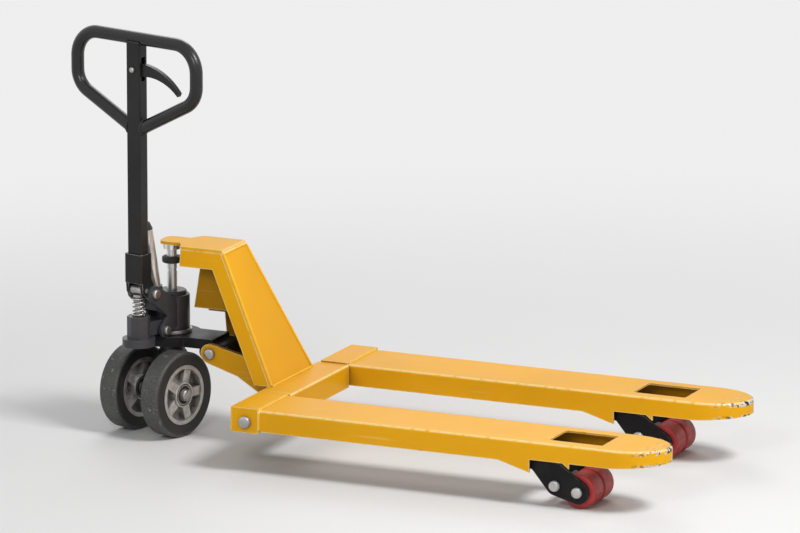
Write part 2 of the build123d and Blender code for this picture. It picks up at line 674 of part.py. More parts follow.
for side, hand in zip(SIDES, ("right", "left")):
    mid_y = side * FORK_Y
    with BuildPart() as roller_frame:
        for face in SIDES:
            with BuildSketch(lengthwise(mid_y + face * FRAME_IN)):
                with Locations(at(FRAME_PIVOT_X, FRAME_PIVOT_Z)):
                    Circle(FRAME_ROOT_R)
                with Locations(at(KNEE_X, KNEE_Z)):
                    Circle(KNEE_R)
                make_hull()
            extrude(amount=-face * FRAME_PLATE)
            with BuildSketch(lengthwise(mid_y + face * FRAME_IN)):
                with Locations(at(KNEE_X, KNEE_Z)):
                    Circle(KNEE_R)
                with Locations(at(CREST_X, CREST_Z)):
                    Circle(CREST_R)
                with Locations(at(TIE_X, TIE_Z)):
                    Circle(TIE_EYE_R)
                with Locations(at(AXLE_X, ROLLER_R)):
                    Circle(FRAME_EYE_R)
                make_hull()
            extrude(amount=-face * FRAME_PLATE)
            with BuildSketch(lengthwise(mid_y + face * LEVER_IN)):
                with Locations(at(FRAME_PIVOT_X, FRAME_PIVOT_Z)):
                    Circle(FRAME_TUBE_R)
            extrude(amount=-face * (FRAME_IN - LEVER_IN))
            with BuildSketch(lengthwise(mid_y + face * LEVER_IN)):
                with Locations(at(FRAME_PIVOT_X, FRAME_PIVOT_Z)):
                    Circle(FRAME_TUBE_R)
                with Locations(at(FRAME_PIVOT_X, FRAME_PIN_HIGH)):
                    Circle(ROD_EYE_R)
                make_hull()
            extrude(amount=-face * LEVER_PLATE)
        with BuildSketch(lengthwise(mid_y)):
            with Locations(at(KNEE_X, KNEE_Z)):
                Circle(FRAME_BAR_R)
        extrude(amount=FRAME_IN, both=True)
        with BuildSketch(lengthwise(mid_y)):
            with Locations(at(FRAME_PIVOT_X, FRAME_PIVOT_Z)):
                Circle(FRAME_PIVOT_R + RUN)
            with Locations(at(FRAME_PIVOT_X, FRAME_PIN_HIGH)):
                Circle(ROD_PIN_R + RUN)
            with Locations(at(TIE_X, TIE_Z), at(AXLE_X, ROLLER_R)):
                Circle(AXLE_R + RUN)
        extrude(amount=FRAME_OUT, both=True, mode=Mode.SUBTRACT)
    save(roller_frame, f"{hand}_roller_frame")

    with BuildPart() as frame_pins:
        with BuildSketch(lengthwise(mid_y)):
            with Locations(at(TIE_X, TIE_Z)):
                Circle(AXLE_R)
        extrude(amount=FRAME_OUT, both=True)
        for face in SIDES:
            with BuildSketch(lengthwise(mid_y + face * FRAME_OUT)):
                with Locations(at(TIE_X, TIE_Z)):
                    Circle(AXLE_HEAD_R)
            extrude(amount=-face * AXLE_HEAD)
        ends = frame_pins.faces().sort_by(Axis.Y)
        chamfer(ends[0].edges() + ends[-1].edges(), AXLE_HEAD / 4)
        with BuildSketch(lengthwise(mid_y)):
            with Locations(at(FRAME_PIVOT_X, FRAME_PIN_HIGH)):
                Circle(ROD_PIN_R)
        extrude(amount=LEVER_OUT, both=True)
    save(frame_pins, f"{hand}_frame_pins")

    with BuildPart() as roller_axle:
        with BuildSketch(lengthwise(mid_y)):
            with Locations(at(AXLE_X, ROLLER_R)):
                Circle(AXLE_R)
        extrude(amount=FRAME_OUT, both=True)
        for face in SIDES:
            with BuildSketch(lengthwise(mid_y + face * FRAME_OUT)):
                with Locations(at(AXLE_X, ROLLER_R)):
                    Circle(AXLE_HEAD_R)
            extrude(amount=-face * AXLE_HEAD)
        ends = roller_axle.faces().sort_by(Axis.Y)
        chamfer(ends[0].edges() + ends[-1].edges(), AXLE_HEAD / 4)
    save(roller_axle, f"{hand}_roller_axle")

    for face, post in zip(SIDES, ("a", "b")):
        with BuildPart() as roller:
            with BuildSketch(lengthwise(mid_y + face * ROLLER_GAP / 2)):
                with Locations(at(AXLE_X, ROLLER_R)):
                    Circle(ROLLER_R)
            extrude(amount=-face * ROLLER_W)
            rims = roller.edges().filter_by(GeomType.CIRCLE)
            fillet(rims, ROLLER_EDGE_R)
            for end in (0, 1):
                depth = ROLLER_GAP / 2 + end * (ROLLER_W - ROLLER_DISH)
                with BuildSketch(lengthwise(mid_y + face * depth)):
                    with Locations(at(AXLE_X, ROLLER_R)):
                        Circle(ROLLER_HUB_R)
                        Circle(ROLLER_BEARING_R, mode=Mode.SUBTRACT)
                extrude(amount=-face * ROLLER_DISH, mode=Mode.SUBTRACT)
            with BuildSketch(lengthwise(mid_y)):
                with Locations(at(AXLE_X, ROLLER_R)):
                    Circle(AXLE_R + RUN)
            extrude(amount=FRAME_OUT, both=True, mode=Mode.SUBTRACT)
        save(roller, f"{hand}_roller_{post}")

# Thrust plate: carries the steer unit, and its slot takes the link pin as the arms swing
with BuildPart() as thrust_plate:
    with BuildSketch(Plane.XY.offset(THRUST_LOW)):
        with Locations((STEER_X, 0)):
            Circle(THRUST_R)
        with Locations((STEER_X + LINK_X / 2, 0)):
            Rectangle(LINK_X, 2 * (LINK_ARM_IN - SIDE_PLAY))
    extrude(amount=THRUST_PLATE)
    with BuildSketch(lengthwise(0)):
        with Locations(at(LINK_X + LINK_SLIP_RAISED, LINK_Z), at(LINK_X + LINK_SLIP_LOWERED, LINK_Z)):
            Circle(LINK_SLOT_R + LINK_SLOT_WALL)
        make_hull()
    extrude(amount=LINK_ARM_IN - SIDE_PLAY, both=True)
    with BuildSketch(lengthwise(0)):
        with Locations(at(LINK_X + LINK_SLIP_RAISED, LINK_Z), at(LINK_X + LINK_SLIP_LOWERED, LINK_Z)):
            Circle(LINK_SLOT_R)
        make_hull()
    extrude(amount=LINK_ARM_IN, both=True, mode=Mode.SUBTRACT)
    with BuildSketch(Plane.XY):
        with Locations((STEER_X, 0)):
            Circle(STEM_R + RUN)
    extrude(amount=PUMP_TOP, mode=Mode.SUBTRACT)
save(thrust_plate, "thrust_plate")

PUMP_LOW = THRUST_LOW + THRUST_PLATE + THRUST_RING + RUN
with BuildPart() as thrust_ring:
    with BuildSketch(Plane.XY.offset(THRUST_LOW + THRUST_PLATE)):
        with Locations((STEER_X, 0)):
            Circle(THRUST_RING_R)
            Circle(STEM_R + SIDE_PLAY, mode=Mode.SUBTRACT)
    extrude(amount=THRUST_RING)
    chamfer(thrust_ring.edges().filter_by(GeomType.CIRCLE), THRUST_RING / 6)
save(thrust_ring, "thrust_ring")

# Pump casting: cylinder, steering stem, axle carrier that trails behind the stem, plunger boss
# on a bridge and two cheeks for the handle
foot_place = UNIT_XZ.from_local_coords((STRUT_FOOT_X, STRUT_FOOT_Z, 0))
lean_place = UNIT_XZ.from_local_coords((
    STRUT_FOOT_X - sin(radians(STRUT_LEAN)),
    STRUT_FOOT_Z + cos(radians(STRUT_LEAN)),
    0,
))
STRUT_FOOT = Plane(origin=foot_place, x_dir=UNIT_Y, z_dir=lean_place - foot_place)
with BuildPart() as pump_body:
    with BuildSketch(UNIT_XY.offset(PUMP_LOW)):
        Circle(PUMP_R)
    extrude(amount=PUMP_TOP - PUMP_LOW)
    fillet(pump_body.edges().filter_by(GeomType.CIRCLE), PUMP_EDGE_R)
    with BuildSketch(UNIT_XY.offset(STEM_LOW)):
        Circle(STEM_R)
    extrude(amount=PUMP_LOW - STEM_LOW)
    with BuildSketch(UNIT_XZ):
        with Locations(WHEEL_MID, (0, CARRIER_TOP)):
            Circle(CARRIER_R)
        make_hull()
    extrude(amount=CARRIER_HALF, both=True)
    with BuildSketch(UNIT_XY.offset(PUMP_LOW)):
        with Locations((PLUNGER_X / 2, 0)):
            Rectangle(-PLUNGER_X, 2 * BRIDGE_HALF)
    extrude(amount=BRIDGE_TOP - PUMP_LOW)
    with BuildSketch(UNIT_XY.offset(PLUNGER_FLANGE_LOW)):
        with Locations((PLUNGER_X, 0)):
            RegularPolygon(PLUNGER_BOSS_R, PLUNGER_BOSS_SIDES)
    extrude(amount=PLUNGER_BOSS_TOP - PLUNGER_FLANGE_LOW)
    with BuildSketch(UNIT_XY.offset(PLUNGER_FLANGE_LOW)):
        with Locations((PLUNGER_X, 0)):
            Circle(PLUNGER_FLANGE_R)
    extrude(amount=PLUNGER_FLANGE)
    with BuildSketch(UNIT_XY.offset(SEAT_LOW)):
        with Locations((STRUT_FOOT_X, 0)):
            Rectangle(2 * SEAT_HALF, 2 * CHEEK_IN)
    extrude(amount=SEAT_TOP - SEAT_LOW)
    for side in SIDES:
        with BuildSketch(UNIT_XZ.offset(side * CHEEK_IN)):
            with Locations((PIVOT_X, PIVOT_Z)):
                Circle(CHEEK_EYE_R)
            with Locations((CHEEK_ROOT_X, CHEEK_ROOT_Z)):
                Circle(CHEEK_ROOT_R)
            make_hull()
        extrude(amount=side * CHEEK_PLATE)
        with BuildSketch(UNIT_XZ.offset(side * CHEEK_IN)):
            with Locations((LOWER_PIN_X, LOWER_PIN_Z)):
                Circle(LOWER_EYE_R)
            with Locations((CHEEK_ROOT_X, CHEEK_ROOT_Z)):
                Circle(CHEEK_ROOT_R)
            make_hull()
        extrude(amount=side * CHEEK_PLATE)
    with BuildSketch(UNIT_XY.offset(RAM_BORE_LOW)):
        Circle(RAM_R + RUN)
    extrude(amount=PUMP_TOP, mode=Mode.SUBTRACT)
    with BuildSketch(UNIT_XY.offset(PLUNGER_BOSS_TOP)):
        with Locations((PLUNGER_X, 0)):
            Circle(PLUNGER_STEM_R + RUN)
    extrude(amount=-PLUNGER_BORE, mode=Mode.SUBTRACT)
    with BuildSketch(UNIT_XZ):
        with Locations(WHEEL_MID):
            Circle(WHEEL_AXLE_R + RUN)
        with Locations((PIVOT_X, PIVOT_Z)):
            Circle(PIVOT_R + RUN)
        with Locations((LOWER_PIN_X, LOWER_PIN_Z)):
            Circle(LOWER_PIN_R + RUN)
    extrude(amount=PUMP_TOP, both=True, mode=Mode.SUBTRACT)
    with BuildSketch(STRUT_FOOT):
        Circle(CUP_R + RUN)
    extrude(amount=CUP_LENGTH, mode=Mode.SUBTRACT)
save(pump_body, "pump_body")

with BuildPart() as pump_collar:
    with BuildSketch(UNIT_XY.offset(PUMP_TOP)):
        Circle(PUMP_COLLAR_R)
        Circle(RAM_R + RUN, mode=Mode.SUBTRACT)
    extrude(amount=PUMP_COLLAR)
    outer = pump_collar.edges().filter_by(GeomType.CIRCLE).group_by(Axis.Z)[-1].sort_by(SortBy.RADIUS)[-1]
    chamfer(outer, PUMP_COLLAR / 3)
save(pump_collar, "pump_collar")

with BuildPart() as pivot_pins:
    for x, z, radius, head in (
        (PIVOT_X, PIVOT_Z, PIVOT_R, PIVOT_HEAD_R),
        (LOWER_PIN_X, LOWER_PIN_Z, LOWER_PIN_R, LOWER_HEAD_R),
    ):
        with BuildSketch(UNIT_XZ):
            with Locations((x, z)):
                Circle(radius)
        extrude(amount=CHEEK_OUT, both=True)
        for side in SIDES:
            with BuildSketch(UNIT_XZ.offset(side * CHEEK_OUT)):
                with Locations((x, z)):
                    Circle(head)
            extrude(amount=side * PIVOT_HEAD)
save(pivot_pins, "pivot_pins")

# Lift ram with its wiper ring, held under the head's ear
with BuildPart() as ram:
    with BuildSketch(Plane.XY.offset(RAM_LOW)):
        with Locations((STEER_X, 0)):
            Circle(RAM_R)
    extrude(amount=HEAD_TOP - HEAD_TOP_PLATE - RAM_LOW)
    with BuildSketch(Plane.XY.offset(HEAD_TOP - HEAD_TOP_PLATE)):
        with Locations((STEER_X, 0)):
            Circle(RAM_CUP_R)
    extrude(amount=-RAM_CUP)
    with BuildSketch(Plane.XY.offset(RAM_GROOVE_Z)):
        with Locations((STEER_X, 0)):
            Circle(2 * RAM_R)
            Circle(RAM_R - RAM_GROOVE / 4, mode=Mode.SUBTRACT)
    extrude(amount=RAM_GROOVE, mode=Mode.SUBTRACT)
save(ram, "ram")

with BuildPart() as ram_ring:
    with BuildSketch(Plane.XY.offset(RAM_RING_Z)):
        with Locations((STEER_X, 0)):
            Circle(RAM_RING_R)
            Circle(RAM_R + RUN, mode=Mode.SUBTRACT)
    extrude(amount=RAM_RING)
    outer = ram_ring.edges().filter_by(GeomType.CIRCLE).group_by(SortBy.RADIUS)[-1]
    fillet(outer, RAM_RING / 4)
save(ram_ring, "ram_ring")

# Plunger and the spring that returns it
with BuildPart() as plunger:
    with BuildSketch(UNIT_XY.offset(PLUNGER_BOSS_TOP - PLUNGER_DEPTH)):
        with Locations((PLUNGER_X, 0)):
            Circle(PLUNGER_STEM_R)
    extrude(amount=PLUNGER_TOP - PLUNGER_BOSS_TOP + PLUNGER_DEPTH)
    with BuildSketch(UNIT_XY.offset(PLUNGER_TOP - PLUNGER_CAP)):
        with Locations((PLUNGER_X, 0)):
            Circle(PLUNGER_CAP_R)
    extrude(amount=PLUNGER_CAP)
save(plunger, "plunger")


def coil(turn):
    """Place on the spring's coil and its direction there, after a number of turns."""
    angle = 2 * pi * turn
    x = SPRING_MID.X + SPRING_COIL_R * cos(angle)
    y = SPRING_MID.Y + SPRING_COIL_R * sin(angle)
    z = COIL_LOW + SPRING_PITCH * (turn - SPRING_LEAD)
    run = 2 * pi * SPRING_COIL_R
    along = Vector(-run * sin(angle), run * cos(angle), SPRING_PITCH).normalized()
    return Vector(x, y, z), along


def biarc(start, start_dir, end, end_dir):
    """Joint and direction there of two equal-handled arcs between two places."""
    chord = end - start
    both = start_dir + end_dir
    spread = 2 * (1 - start_dir.dot(end_dir))
    lean = chord.dot(both)
    handle = (-lean + (lean * lean + spread * chord.dot(chord)) ** 0.5) / spread
    first = start + start_dir * handle
    second = end - end_dir * handle
    return (first + second) * 0.5, (second - first).normalized()


UP = Vector(0, 0, 1)
SPRING_MID = UNIT_XY.from_local_coords(Vector(PLUNGER_X, 0, 0))
SPRING_LOW = PLUNGER_BOSS_TOP
SPRING_HIGH = PLUNGER_TOP - PLUNGER_CAP
COIL_LOW = SPRING_LOW + SPRING_WIRE + SPRING_RISE
SPRING_PITCH = (SPRING_HIGH - SPRING_WIRE - SPRING_RISE - COIL_LOW) / SPRING_TURNS
QUARTERS = [SPRING_LEAD + quarter / 4 for quarter in range(4 * SPRING_TURNS + 1)]
foot_end = SPRING_MID + Vector(SPRING_COIL_R, 0, SPRING_LOW)
last_turn = 2 * pi * (QUARTERS[-1] + SPRING_LEAD)
head_end = SPRING_MID + Vector(
    SPRING_COIL_R * cos(last_turn),
    SPRING_COIL_R * sin(last_turn),
    SPRING_HIGH,
)
stops = [(foot_end + UP * SPRING_WIRE, UP)]
stops += [coil(turn) for turn in QUARTERS]
stops += [(head_end - UP * SPRING_WIRE, UP)]
with BuildPart() as plunger_spring:
    with BuildLine() as spring_path:
        Line(foot_end, stops[0][0])
        for (start, start_dir), (end, end_dir) in zip(stops, stops[1:]):
            joint, joint_dir = biarc(start, start_dir, end, end_dir)
            TangentArc(start, joint, tangent=start_dir)
            TangentArc(joint, end, tangent=joint_dir)
        Line(stops[-1][0], head_end)
    with BuildSketch(Plane.XY.offset(SPRING_LOW)):
        with Locations((foot_end.X, foot_end.Y)):
            Circle(SPRING_WIRE / 2)
    sweep(path=spring_path.wires()[0])
save(plunger_spring, "plunger_spring")
marks = [spring_path.wires()[0].position_at(step / 600) for step in range(601)]
apart = int(600 / SPRING_TURNS / 2)
gap = min((a - b).length for i, a in enumerate(marks) for b in marks[i + apart:]) - SPRING_WIRE
print("spring gap", round(gap, 2), "volume share", round(plunger_spring.part.volume
      / (pi * SPRING_WIRE ** 2 / 4 * spring_path.wires()[0].length), 4))

# Buffer strut with its guide rod, in a cup on the pump, and its rubber cap
with BuildPart() as strut_cup:
    with BuildSketch(STRUT_FOOT):
        Circle(CUP_R)
    extrude(amount=CUP_LENGTH)
    with BuildSketch(STRUT_FOOT.offset(CUP_FLOOR)):
        Circle(STRUT_R + RUN)
    extrude(amount=CUP_LENGTH, mode=Mode.SUBTRACT)
save(strut_cup, "strut_cup")

with BuildPart() as buffer_strut:
    with BuildSketch(STRUT_FOOT.offset(CUP_FLOOR)):
        Circle(STRUT_R)
    extrude(amount=STRUT_LENGTH)
save(buffer_strut, "buffer_strut")

STRUT_END = STRUT_FOOT.offset(CUP_FLOOR + STRUT_LENGTH)
with BuildPart() as strut_cap:
    with BuildSketch(STRUT_END):
        Circle(STRUT_R)
    with BuildSketch(STRUT_END.offset(CAP_TAPER)):
        Circle(CAP_TAPER_R)
    loft()
save(strut_cap, "strut_cap")

# Steer wheels on their axle: rubber tyre, ribbed aluminium hub and two bearings each
WHEEL_IN = (WHEEL_PITCH - WHEEL_W) / 2
WHEEL_OUT = (WHEEL_PITCH + WHEEL_W) / 2
HUB_DISH = (WHEEL_W - HUB_WEB) / 2
with BuildPart() as wheel_axle:
    with BuildSketch(UNIT_XZ):
        with Locations(WHEEL_MID):
            Circle(WHEEL_AXLE_R)
    extrude(amount=WHEEL_OUT + SIDE_PLAY, both=True)
    for side in SIDES:
        with BuildSketch(UNIT_XZ.offset(side * (WHEEL_OUT + SIDE_PLAY))):
            with Locations(WHEEL_MID):
                Circle(CAP_R)
        extrude(amount=side * CAP_LENGTH)
save(wheel_axle, "wheel_axle")

for side, hand in zip(SIDES, ("left", "right")):
    inner_face = UNIT_XZ.offset(side * WHEEL_IN)
    outer_face = UNIT_XZ.offset(side * WHEEL_OUT)
    with BuildPart() as tyre:
        with BuildSketch(inner_face):
            with Locations(WHEEL_MID):
                Circle(WHEEL_R)
        extrude(amount=side * WHEEL_W)
        fillet(tyre.edges().filter_by(GeomType.CIRCLE), TYRE_EDGE_R)
        with BuildSketch(inner_face):
            with Locations(WHEEL_MID):
                Circle(TYRE_BORE_R)
        extrude(amount=side * WHEEL_W, mode=Mode.SUBTRACT)
    save(tyre, f"{hand}_tyre")

    with BuildPart() as hub:
        with BuildSketch(inner_face):
            with Locations(WHEEL_MID):
                Circle(TYRE_BORE_R)
        extrude(amount=side * WHEEL_W)
        for face, inward in ((inner_face, side), (outer_face, -side)):
            with BuildSketch(face):
                with Locations(WHEEL_MID):
                    Circle(TYRE_BORE_R - HUB_RIM)
                    Circle(HUB_BOSS_R, mode=Mode.SUBTRACT)
            extrude(amount=inward * HUB_DISH, mode=Mode.SUBTRACT)
            with BuildSketch(face.offset(inward * HUB_RIB_SINK)):
                with Locations(WHEEL_MID):
                    with PolarLocations((TYRE_BORE_R + HUB_BOSS_R - HUB_RIM) / 2, HUB_RIBS):
                        Rectangle(TYRE_BORE_R - HUB_BOSS_R, HUB_RIB)
            extrude(amount=inward * (HUB_DISH - HUB_RIB_SINK))
            with BuildSketch(face):
                with Locations(WHEEL_MID):
                    Circle(BEARING_R)
            extrude(amount=inward * BEARING_W, mode=Mode.SUBTRACT)
        with BuildSketch(inner_face):
            with Locations(WHEEL_MID):
                Circle(HUB_BORE_R)
        extrude(amount=side * WHEEL_W, mode=Mode.SUBTRACT)
    save(hub, f"{hand}_wheel_hub")

    with BuildPart() as bearings:
        for face, inward in ((inner_face, side), (outer_face, -side)):
            with BuildSketch(face):
                with Locations(WHEEL_MID):
                    Circle(BEARING_R)
                    Circle(WHEEL_AXLE_R + RUN, mode=Mode.SUBTRACT)
            extrude(amount=inward * BEARING_W)
            with BuildSketch(face):
                with Locations(WHEEL_MID):
                    Circle(BEARING_SEAL_R)
                    Circle(BEARING_INNER_R, mode=Mode.SUBTRACT)
            extrude(amount=inward * BEARING_SINK, mode=Mode.SUBTRACT)
    save(bearings, f"{hand}_wheel_bearings")

# Handle: socket with a clevis, square shaft, bent loop, release lever and its pull rod
SEAT_Z = SOCKET_LOW + SOCKET_FLOOR
with BuildPart() as handle_socket:
    with BuildSketch(UNIT_XY.offset(SOCKET_LOW)):
        with Locations((PLUNGER_X, 0)):
            RectangleRounded(SOCKET_DEEP, SOCKET_WIDE, SOCKET_CORNER_R)
    extrude(amount=SOCKET_TOP - SOCKET_LOW)
    with BuildSketch(UNIT_XY.offset(SEAT_Z)):
        with Locations((PLUNGER_X, 0)):
            RectangleRounded(SHAFT_DEEP + 2 * RUN, SHAFT_WIDE + 2 * RUN, SHAFT_CORNER_R)
    extrude(amount=SOCKET_TOP, mode=Mode.SUBTRACT)
    for side in SIDES:
        with BuildSketch(UNIT_XZ.offset(side * EAR_IN)):
            with Locations((PIVOT_X, PIVOT_Z)):
                Circle(EAR_EYE_R)
            with Locations((PLUNGER_X, SEAT_Z)):
                Rectangle(SOCKET_DEEP - 2 * SOCKET_CORNER_R, SOCKET_FLOOR)
            with Locations((PLUNGER_X, PRESS_ROLLER_Z)):
                Circle(PRESS_PIN_R + EAR_PLATE)
            make_hull()
        extrude(amount=side * EAR_PLATE)
    with BuildSketch(UNIT_XY.offset(SEAT_Z)):
        with Locations((PLUNGER_X, 0)):
            RectangleRounded(SHAFT_DEEP + 2 * RUN, SHAFT_WIDE + 2 * RUN, SHAFT_CORNER_R)
    extrude(amount=SOCKET_TOP, mode=Mode.SUBTRACT)
    with BuildSketch(UNIT_XZ):
        with Locations((PIVOT_X, PIVOT_Z)):
            Circle(PIVOT_R + RUN)
        with Locations((PLUNGER_X, PRESS_ROLLER_Z)):
            Circle(PRESS_PIN_R)
    extrude(amount=SOCKET_WIDE, both=True, mode=Mode.SUBTRACT)
    with BuildSketch(UNIT_XY.offset(SOCKET_LOW)):
        with Locations((PLUNGER_X, PULL_ROD_Y)):
            Circle(PULL_ROD_R + RUN)
    extrude(amount=SOCKET_FLOOR, mode=Mode.SUBTRACT)
save(handle_socket, "handle_socket")

with BuildPart() as press_roller:
    with BuildSketch(UNIT_XZ):
        with Locations((PLUNGER_X, PRESS_ROLLER_Z)):
            Circle(PRESS_ROLLER_R)
            Circle(PRESS_PIN_R + RUN, mode=Mode.SUBTRACT)
    extrude(amount=EAR_IN - SIDE_PLAY, both=True)
save(press_roller, "press_roller")

BORE_DEEP = SHAFT_DEEP - 2 * SHAFT_WALL
BORE_WIDE = SHAFT_WIDE - 2 * SHAFT_WALL
with BuildPart() as handle_shaft:
    with BuildSketch(UNIT_XY.offset(SEAT_Z)):
        with Locations((PLUNGER_X, 0)):
            RectangleRounded(SHAFT_DEEP, SHAFT_WIDE, SHAFT_CORNER_R)
            Rectangle(BORE_DEEP, BORE_WIDE, mode=Mode.SUBTRACT)
    extrude(amount=LOOP_TOP - LOOP_TUBE_R / 2 - SEAT_Z)
    with BuildSketch(UNIT_XZ):
        with Locations((PLUNGER_X, LOOP_TOP)):
            Circle(LOOP_TUBE_R)
    extrude(amount=SHAFT_WIDE, both=True, mode=Mode.SUBTRACT)
    with BuildSketch(UNIT_YZ.offset(PLUNGER_X)):
        with Locations((0, LEVER_PIN_Z)):
            Circle(LEVER_PIN_R + RUN)
    extrude(amount=SHAFT_DEEP, both=True, mode=Mode.SUBTRACT)
    with BuildSketch(UNIT_XZ.offset(SHAFT_WIDE)):
        with Locations((PLUNGER_X, LEVER_PIN_Z + (LEVER_SLOT_HIGH - LEVER_SLOT_LOW) / 2)):
            Rectangle(LEVER_WIDTH + 2 * SIDE_PLAY, LEVER_SLOT_HIGH + LEVER_SLOT_LOW)
    extrude(amount=-SHAFT_WIDE, mode=Mode.SUBTRACT)
save(handle_shaft, "handle_shaft")

with BuildPart() as handle_loop:
    with BuildLine(UNIT_YZ.offset(PLUNGER_X)) as loop_path:
        FilletPolyline(
            (LOOP_ROOT, LOOP_JOIN - LOOP_ROOT),
            (LOOP_HALF, LOOP_SHOULDER),
            (LOOP_HALF, LOOP_TOP),
            (-LOOP_HALF, LOOP_TOP),
            (-LOOP_HALF, LOOP_SHOULDER),
            (-LOOP_ROOT, LOOP_JOIN - LOOP_ROOT),
            radius=(LOOP_SHOULDER_R, LOOP_BEND_R, LOOP_BEND_R, LOOP_SHOULDER_R),
        )
    start = loop_path.wires()[0]
    with BuildSketch(Plane(start @ 0, z_dir=start % 0)):
        Circle(LOOP_TUBE_R)
        Circle(LOOP_BORE_R, mode=Mode.SUBTRACT)
    sweep(path=start)
    with BuildSketch(UNIT_XY.offset(LOOP_JOIN - SHAFT_WIDE * 2)):
        with Locations((PLUNGER_X, 0)):
            Rectangle(2 * SHAFT_DEEP, SHAFT_WIDE)
    extrude(amount=SHAFT_WIDE * 4, mode=Mode.SUBTRACT)
save(handle_loop, "handle_loop")

# Lever: a bowed blade that is squeezed up towards the bar of the loop
LEVER_HIGH = LEVER_PIN_Z + LEVER_DEPTH / 2
LEVER_LOW = LEVER_PIN_Z - LEVER_DEPTH / 2
LEVER_ROOT = LEVER_DEPTH / 2
LEVER_NECK = -SHAFT_WIDE / 2
LEVER_MID = (LEVER_NECK - LEVER_REACH) / 2
BOW_FALL = LEVER_DROP / 2 - LEVER_BOW
with BuildPart() as release_lever:
    with BuildSketch(UNIT_YZ.offset(PLUNGER_X)):
        with BuildLine():
            tip_high = (-LEVER_REACH, LEVER_HIGH - LEVER_DROP)
            tip_low = (LEVER_TIP / 2 - LEVER_REACH, LEVER_HIGH - LEVER_DROP - LEVER_TIP)
            CenterArc((0, LEVER_PIN_Z), LEVER_ROOT, 0, 90)
            Line((0, LEVER_HIGH), (LEVER_NECK, LEVER_HIGH))
            ThreePointArc((LEVER_NECK, LEVER_HIGH), (LEVER_MID, LEVER_HIGH - BOW_FALL), tip_high)
            Line(tip_high, tip_low)
            ThreePointArc(tip_low, (LEVER_MID, LEVER_HIGH - BOW_FALL - LEVER_WAIST), (LEVER_NECK, LEVER_LOW))
            Line((LEVER_NECK, LEVER_LOW), (LEVER_ROOT, LEVER_LOW))
            Line((LEVER_ROOT, LEVER_LOW), (LEVER_ROOT, LEVER_PIN_Z))
        make_face()
        with Locations((0, LEVER_PIN_Z)):
            Circle(LEVER_PIN_R + RUN, mode=Mode.SUBTRACT)
    extrude(amount=LEVER_WIDTH / 2, both=True)
save(release_lever, "release_lever")

with BuildPart() as release_rod:
    with BuildSketch(UNIT_XY.offset(SOCKET_LOW - PULL_END)):
        with Locations((PLUNGER_X, PULL_ROD_Y)):
            Circle(PULL_ROD_R)
    extrude(amount=LEVER_LOW - GAP - SOCKET_LOW + PULL_END)
    with BuildSketch(UNIT_XY.offset(LEVER_LOW - GAP)):
        with Locations((PLUNGER_X, PULL_ROD_Y)):
            Circle(PULL_HEAD_R)
    extrude(amount=-PULL_HEAD)
save(release_rod, "release_rod")

with BuildPart() as handle_pins:
    with BuildSketch(UNIT_XZ):
        with Locations((PLUNGER_X, PRESS_ROLLER_Z)):
            Circle(PRESS_PIN_R)
    extrude(amount=SOCKET_WIDE / 2, both=True)
    with BuildSketch(UNIT_YZ.offset(PLUNGER_X)):
        with Locations((0, LEVER_PIN_Z)):
            Circle(LEVER_PIN_R)
    extrude(amount=SHAFT_DEEP / 2, both=True)
    for side in SIDES:
        with BuildSketch(UNIT_YZ.offset(PLUNGER_X + side * SHAFT_DEEP / 2)):
            with Locations((0, LEVER_PIN_Z)):
                Circle(LEVER_HEAD_R)
        extrude(amount=side * LEVER_HEAD)
save(handle_pins, "handle_pins")

# Rubber pad on the shaft that comes to rest on the strut's cap
SHAFT_FACE = PLUNGER_X + SHAFT_DEEP / 2
STRUT_RISE = CUP_FLOOR + STRUT_LENGTH + CAP_TAPER
CAP_X = STRUT_FOOT_X - STRUT_RISE * sin(radians(STRUT_LEAN)) - CAP_TAPER_R * cos(radians(STRUT_LEAN))
CAP_Z = STRUT_FOOT_Z + STRUT_RISE * cos(radians(STRUT_LEAN)) - CAP_TAPER_R * sin(radians(STRUT_LEAN))
with BuildPart() as buffer_pad:
    with BuildSketch(UNIT_YZ.offset(SHAFT_FACE)):
        with Locations((0, CAP_Z + PAD_HEIGHT / 2 - PAD_LAP)):
            RectangleRounded(2 * PAD_HALF, PAD_HEIGHT, PAD_HALF / 3)
    extrude(amount=CAP_X - SIDE_PLAY - SHAFT_FACE)
save(buffer_pad, "buffer_pad")
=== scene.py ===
import json
import random
from math import cos, radians, sin, tau

import bmesh
import bpy
from bpy.props import FloatProperty, FloatVectorProperty, IntProperty, PointerProperty
from mathutils import Matrix, Vector


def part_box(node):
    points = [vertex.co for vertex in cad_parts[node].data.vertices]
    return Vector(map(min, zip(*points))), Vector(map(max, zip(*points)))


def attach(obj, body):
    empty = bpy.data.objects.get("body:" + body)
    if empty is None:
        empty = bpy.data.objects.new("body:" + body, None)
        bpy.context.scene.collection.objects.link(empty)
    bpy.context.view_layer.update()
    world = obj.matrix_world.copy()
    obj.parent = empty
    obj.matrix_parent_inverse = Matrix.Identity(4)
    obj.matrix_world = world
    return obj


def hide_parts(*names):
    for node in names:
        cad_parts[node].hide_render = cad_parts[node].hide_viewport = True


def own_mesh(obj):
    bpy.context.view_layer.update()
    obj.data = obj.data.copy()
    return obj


bl_info = {
    "name": "Pallet jack dressing",
    "version": (1, 0, 0),
    "blender": (4, 5, 0),
    "location": "3D View > Sidebar > Pallet jack",
    "description": "Paints a manual pallet jack and adds its welds, pin heads and return spring",
    "category": "Object",
}

